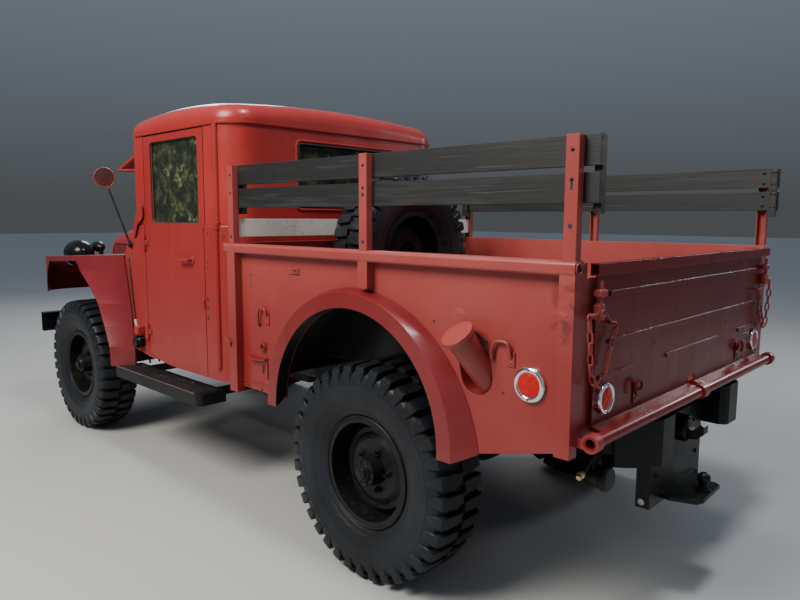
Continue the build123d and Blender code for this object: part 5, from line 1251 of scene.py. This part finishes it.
def tail_rivets():
    """Small round heads along the gate's edges and two on its face."""
    heads = [(side * 0.780, TAIL_SKIN, z) for side in (-1, 1) for z in (0.87, 1.01, 1.106)]
    heads += [(x, TAIL_SKIN, 1.015) for x in (-0.36, 0.36)]
    return bolts(heads, AFT, 0.005, rivet)


# A link's length, width and half its wire's thickness; how loosely links hang in each other
CHAIN_LINK = (0.041, 0.0215, 0.0034)
CHAIN_PLAY = 0.0008


def link_loop():
    """One link's middle line: two half circles joined, lying in its own x and z."""
    length, width, wire = CHAIN_LINK
    radius = width / 2 - wire
    straight = length / 2 - wire - radius
    top = arc((0, 0, straight), radius, 0, 180, 7)
    return np.concatenate([top, arc((0, 0, -straight), radius, 180, 360, 7)])


def chain(path):
    """Links along a path, each turned a quarter about it from the one before."""
    path = smooth_path(path, 12)
    run = np.concatenate([[0.0], np.cumsum(np.linalg.norm(np.diff(path, axis=0), axis=1))])
    pitch = CHAIN_LINK[0] - 2 * CHAIN_LINK[2] - CHAIN_PLAY
    ends = np.stack([np.interp(np.arange(0.0, run[-1], pitch), run, path[:, i]) for i in range(3)], -1)
    link = rod(link_loop(), CHAIN_LINK[2], 6, True)
    made = []
    for count, (start, stop) in enumerate(zip(ends, ends[1:])):
        turn = basis(stop - start)
        if count % 2:
            turn = turn[:, [1, 0, 2]] * (1, -1, 1)
        made.append(moved(link, (start + stop) / 2, turn))
    return merged(made)


def gate_latches():
    """On each side: the latch rod in its strap, the cross bar, the wire pin and the chain that keeps it."""
    y = back(3788)
    latch = rod([(0.806, y, 1.152), (0.806, y, 1.262)], 0.006, 12)
    strap = chamfered((0.784, TAIL_SKIN, 1.212), (0.824, y + 0.011, 1.236), 0.004)
    lug = chamfered((0.790, TAIL_SKIN, 1.140), (0.824, y + 0.009, 1.196), 0.007)
    eye = rolled_ring(0.009, 0.0, 0.003, 0.003, (0.806, y + 0.010, 1.166), AFT, 20)
    bar = rod([(0.800, y, 1.163), (0.877, y, 1.163)], 0.005, 10)
    bar_ring = wire_ring((0.872, y, 1.158), 0.011, 0.0026, OUT, 6)
    foot = chamfered((0.700, TAIL_SKIN, 1.120), (0.712, y + 0.003, 1.132), 0.003)
    pin = smooth_path([(0.802, y + 0.010, 1.172), (0.780, y + 0.012, 1.152), (0.752, y + 0.008, 1.134),
                       (0.722, y + 0.004, 1.130), (0.704, y + 0.002, 1.122), (0.702, y + 0.002, 1.106)])
    links = chain([(0.872, y, 1.148), (0.868, y + 0.002, 1.100), (0.856, y, 1.010),
                   (0.838, y + 0.002, 0.955), (0.806, y, 0.940), (0.776, y + 0.002, 0.975),
                   (0.742, y, 1.046), (0.704, y, 1.112)])
    return both_sides(latch, strap, lug, eye, bar, bar_ring, foot, rod(pin, 0.0024), links)


# Hitch
def hitch_details():
    """Bolts on the channel and the tongue plate with the ball's nut, and the locking pin with its head."""
    heads = places(*((x, 3730, z) for x in (-0.195, 0.195) for z in (0.640, 0.560, 0.480)))
    plate = places(*((0.005 + x, 3778, 0.628 + z) for x in (-0.032, 0.032) for z in (-0.032, 0.032)))
    nut = disc(0.024, 0.018, (0, back(3838), 0.3635), UP, 6)
    pin = rod(places((-0.2445, 3700, 0.382), (0.2445, 3700, 0.382)), 0.0075, 16)
    pin_head = [(0, 0), (0.013, 0), (0.013, 0.006), (0, 0.008)]
    return (merged([bolts(heads, AFT, 0.010), bolts(plate, AFT, 0.0075), nut]),
            merged([pin, turned(pin_head, (0.2452, back(3700), 0.382), OUT, 16)]))


SOCKET = [(0, 0), (0.036, 0), (0.040, 0.006), (0.040, 0.052), (0.046, 0.056), (0.046, 0.070),
          (0.038, 0.078), (0, 0.082)]
PLUG_END = [(0, 0), (0.013, 0), (0.013, 0.010), (0.009, 0.014), (0.009, 0.026), (0, 0.028)]


def trailer_socket():
    """The electric socket under the bed's left rear corner on its hanger, and the plug with a brass end."""
    x, y, z = 0.560, back(3680), 0.565
    hanger = chamfered((x - 0.028, y - 0.010, z + 0.030), (x + 0.028, y - 0.004, 0.766), 0.002)
    plug = smooth_path([(x + 0.030, y - 0.006, 0.650), (x + 0.080, y - 0.002, 0.630),
                        (x + 0.130, y + 0.004, 0.610)])
    brass = turned(PLUG_END, (x + 0.128, y + 0.004, 0.611), (0.94, 0.1, -0.32), 20)
    return merged([turned(SOCKET, (x, y - 0.036, z), AFT), hanger, rod(plug, 0.011, 12)]), brass


# Underneath
def spring_clamps():
    """U-bolts that hold each spring to its axle, with a plate on top."""
    made = []
    x = 0.371
    for y, seat in ((back(0), 0.483), (back(2845), 0.491)):
        made += [rod([(x + dx, y + dy, seat - 0.105), (x + dx, y + dy, seat + 0.082)], 0.007)
                 for dy in (-0.055, 0.055) for dx in (-0.036, 0.036)]
        made.append(chamfered((x - 0.048, y - 0.070, seat + 0.0505), (x + 0.048, y + 0.070, seat + 0.064),
                              0.003))
    return both_sides(*made)


def tank_straps():
    """Two steel straps under the fuel tank."""
    low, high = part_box("fuel_tank")
    path = [(low.y - 0.002, high.z), (low.y - 0.002, low.z + 0.02), (low.y + 0.02, low.z - 0.002),
            (high.y - 0.02, low.z - 0.002), (high.y + 0.002, low.z + 0.02), (high.y + 0.002, high.z)]
    return merged(swept([(x, y, z) for y, z in path], strap_section(0.018, 0.0015)) for x in (-0.17, 0.17))


def dress_truck():
    """Put every other piece in its place: finish, slot, and the shapes that share them by name."""
    tread, edging = board_tread()
    glass, rim = mirror_glass()
    lamp, lamp_bracket = cowl_lamp()
    lamp_glass, lamp_rims = lamp_faces()
    hitch_heads, hitch_pin = hitch_details()
    hose, sleeve = cowl_hose()
    rail_rims, rail_hole_shades = rail_ends()
    socket, plug_end = trailer_socket()
    for finish, slot, shapes in (
        (TOP_RED, "red_paint", {"roof_gutter": roof_gutter()}),
        (RED, "red_paint", {
            "quarter_beads": quarter_bead(), "belt_flange": belt_flange(), "cab_fasteners": cab_hardware(),
            "cowl_arms": cowl_arm(), "cowl_lamp_bracket": lamp_bracket}),
        (BED_RED, "red_paint", {
            "lashing_loops": lashing_loops(), "side_fittings": side_fittings(), "rail_end_rims": rail_rims,
            "floor_strips": floor_strips(), "front_wall_ribs": front_wall_ribs(),
            "corner_sheets": corner_sheets()}),
        (RUBBER, "tyre_rubber", {"jamb_plugs": jamb_holes(), "cowl_hose": hose, "side_slot_shades": side_slot_shades(),
                                 "rail_end_hole_shades": rail_hole_shades}),
        (WHITE_WOOD, "tyre_rubber", {"hose_sleeve": sleeve}),
        (MIRROR_GLASS_REFLECTION, "dark_glass", {"mirror_glasses": glass}),
        (LAMP_GLASS, "dark_glass", {"lamp_lenses": lamp_glass}),
        (MIRROR_RIM, "black_paint", {"mirror_rims": rim}),
        (GLOSS_BLACK, "black_paint", {"cab_controls": cab_inside(), "cowl_lamp": lamp}),
        (BLACK, "black_paint", {
            "mirror_clamps": mirror_clamp(), "rack_bolts": rack_bolts(), "cleat_screws": cleat_screws(),
            "trailer_socket": socket, "hitch_bolts": hitch_heads}),
        (TREAD_BLACK, "black_paint", {"board_treads": tread}),
        (STEEL, "black_paint", {"board_edging": edging, "hitch_pin": hitch_pin}),
        (CHROME, "black_paint", {"lamp_rims": lamp_rims}),
        (BRASS, "black_paint", {"plug_end": plug_end}),
        (CHASSIS_BLACK, "black_paint", {"spring_clamps": spring_clamps(), "tank_straps": tank_straps()}),
    ):
        for name, shape in shapes.items():
            piece(name, shape, finish, "chassis")
    piece("tail_hooks", tail_hooks(), GATE_SHADED_RED, "tailgate")
    piece("tail_rivets", tail_rivets(), GATE_SHADED_RED, "tailgate")
    piece("gate_latches", gate_latches(), BED_RED, "tailgate", ["tailgate_chains"])


make_tyres()
dress_wheels()
window_seals()
make_reflectors()
make_seats()
dress_truck()
dress_doors()


# Floor, light and camera
def stage_floor():
    """A pale floor far wider than the truck."""
    reach = 60.0
    corners = [(-reach, -reach, 0), (reach, -reach, 0), (reach, reach, 0), (-reach, reach, 0)]
    floor = into_scene("floor", mesh_of("floor", (corners, [(0, 1, 2, 3)])))
    finish = Finish("pale_floor").set(Base_Color=rgb(0.41, 0.405, 0.39), Roughness=0.8)
    floor.data.materials.append(finish)


def area_light(name, place, target, size, power, colour):
    """A soft square light aimed at a point."""
    lamp = bpy.data.lights.new(name, "AREA")
    lamp.size, lamp.energy, lamp.color = size, power, colour
    light = into_scene(name, lamp)
    light.location = place
    light.rotation_euler = Vector(np.subtract(target, place)).to_track_quat("-Z", "Y").to_euler()


def cool_sky():
    """Light from all round: dim at the horizon, as where trees stand, and bright and bluish overhead."""
    world = bpy.data.worlds.new("studio")
    world.use_nodes = True
    tree = world.node_tree
    way, parts, rise, shade = (
        tree.nodes.new("ShaderNode" + kind) for kind in ("TexCoord", "SeparateXYZ", "MapRange", "Mix"))
    shade.data_type = "RGBA"
    rise.inputs["From Min"].default_value = 0.02
    rise.inputs["From Max"].default_value = 0.70
    shade.inputs[6].default_value = rgb(0.070, 0.076, 0.080)
    shade.inputs[7].default_value = rgb(0.25, 0.31, 0.39)
    for start, stop in (
        (way.outputs["Generated"], parts.inputs[0]), (parts.outputs["Z"], rise.inputs["Value"]),
        (rise.outputs[0], shade.inputs[0]), (shade.outputs[2], tree.nodes["Background"].inputs["Color"]),
    ):
        tree.links.new(start, stop)
    return world


def studio():
    """A cool sky, a warm key high on the truck's left, a small light overhead and a weak fill.

    From the truck's right, one light draws bright lines along the rails and one along the gate's beads.
    """
    bpy.context.scene.world = cool_sky()
    area_light("key", (4.8, 0.3, 5.0), (0.4, 0.2, 1.1), 2.6, 530.0, (1.0, 0.96, 0.88))
    area_light("top", (0.8, 2.6, 6.2), (0.4, 1.9, 1.0), 0.9, 200.0, (0.88, 0.93, 1.0))
    area_light("fill", (5.0, 6.0, 2.5), (0.5, 1.2, 0.8), 4.0, 12.0, (0.86, 0.93, 1.0))
    area_light("rim", (-3.2, -6.5, 5.4), (0.3, -0.5, 1.4), 2.6, 230.0, (1.0, 1.0, 1.0))
    area_light("glint", (-6.5, 3.6, 3.4), (0.0, 2.3, 0.9), 0.9, 75.0, (0.95, 0.97, 1.0))


CAMERA_PLACE = (2.6291, 3.1851, 1.4385)
CAMERA_TURN = 133.73
CAMERA_DOWN = 6.92
CAMERA_ROLL = 0.29
FOCAL_PIXELS = 670.5
PHOTO_WIDTH = 800


def photo_camera():
    """The photograph's own viewpoint, worked out from the truck's known sizes."""
    lens = bpy.data.cameras.new("photo_camera")
    lens.sensor_width = 36.0
    lens.lens = lens.sensor_width * FOCAL_PIXELS / PHOTO_WIDTH
    lens.clip_end = 200.0
    camera = into_scene("photo_camera", lens)
    camera.location = CAMERA_PLACE
    turn, down = math.radians(CAMERA_TURN), math.radians(CAMERA_DOWN)
    look = Euler((math.pi / 2 - down, 0.0, turn)).to_matrix().to_4x4()
    camera.rotation_euler = (look @ Matrix.Rotation(math.radians(CAMERA_ROLL), 4, "Z")).to_euler()
    bpy.context.scene.camera = camera


stage_floor()
studio()
photo_camera()
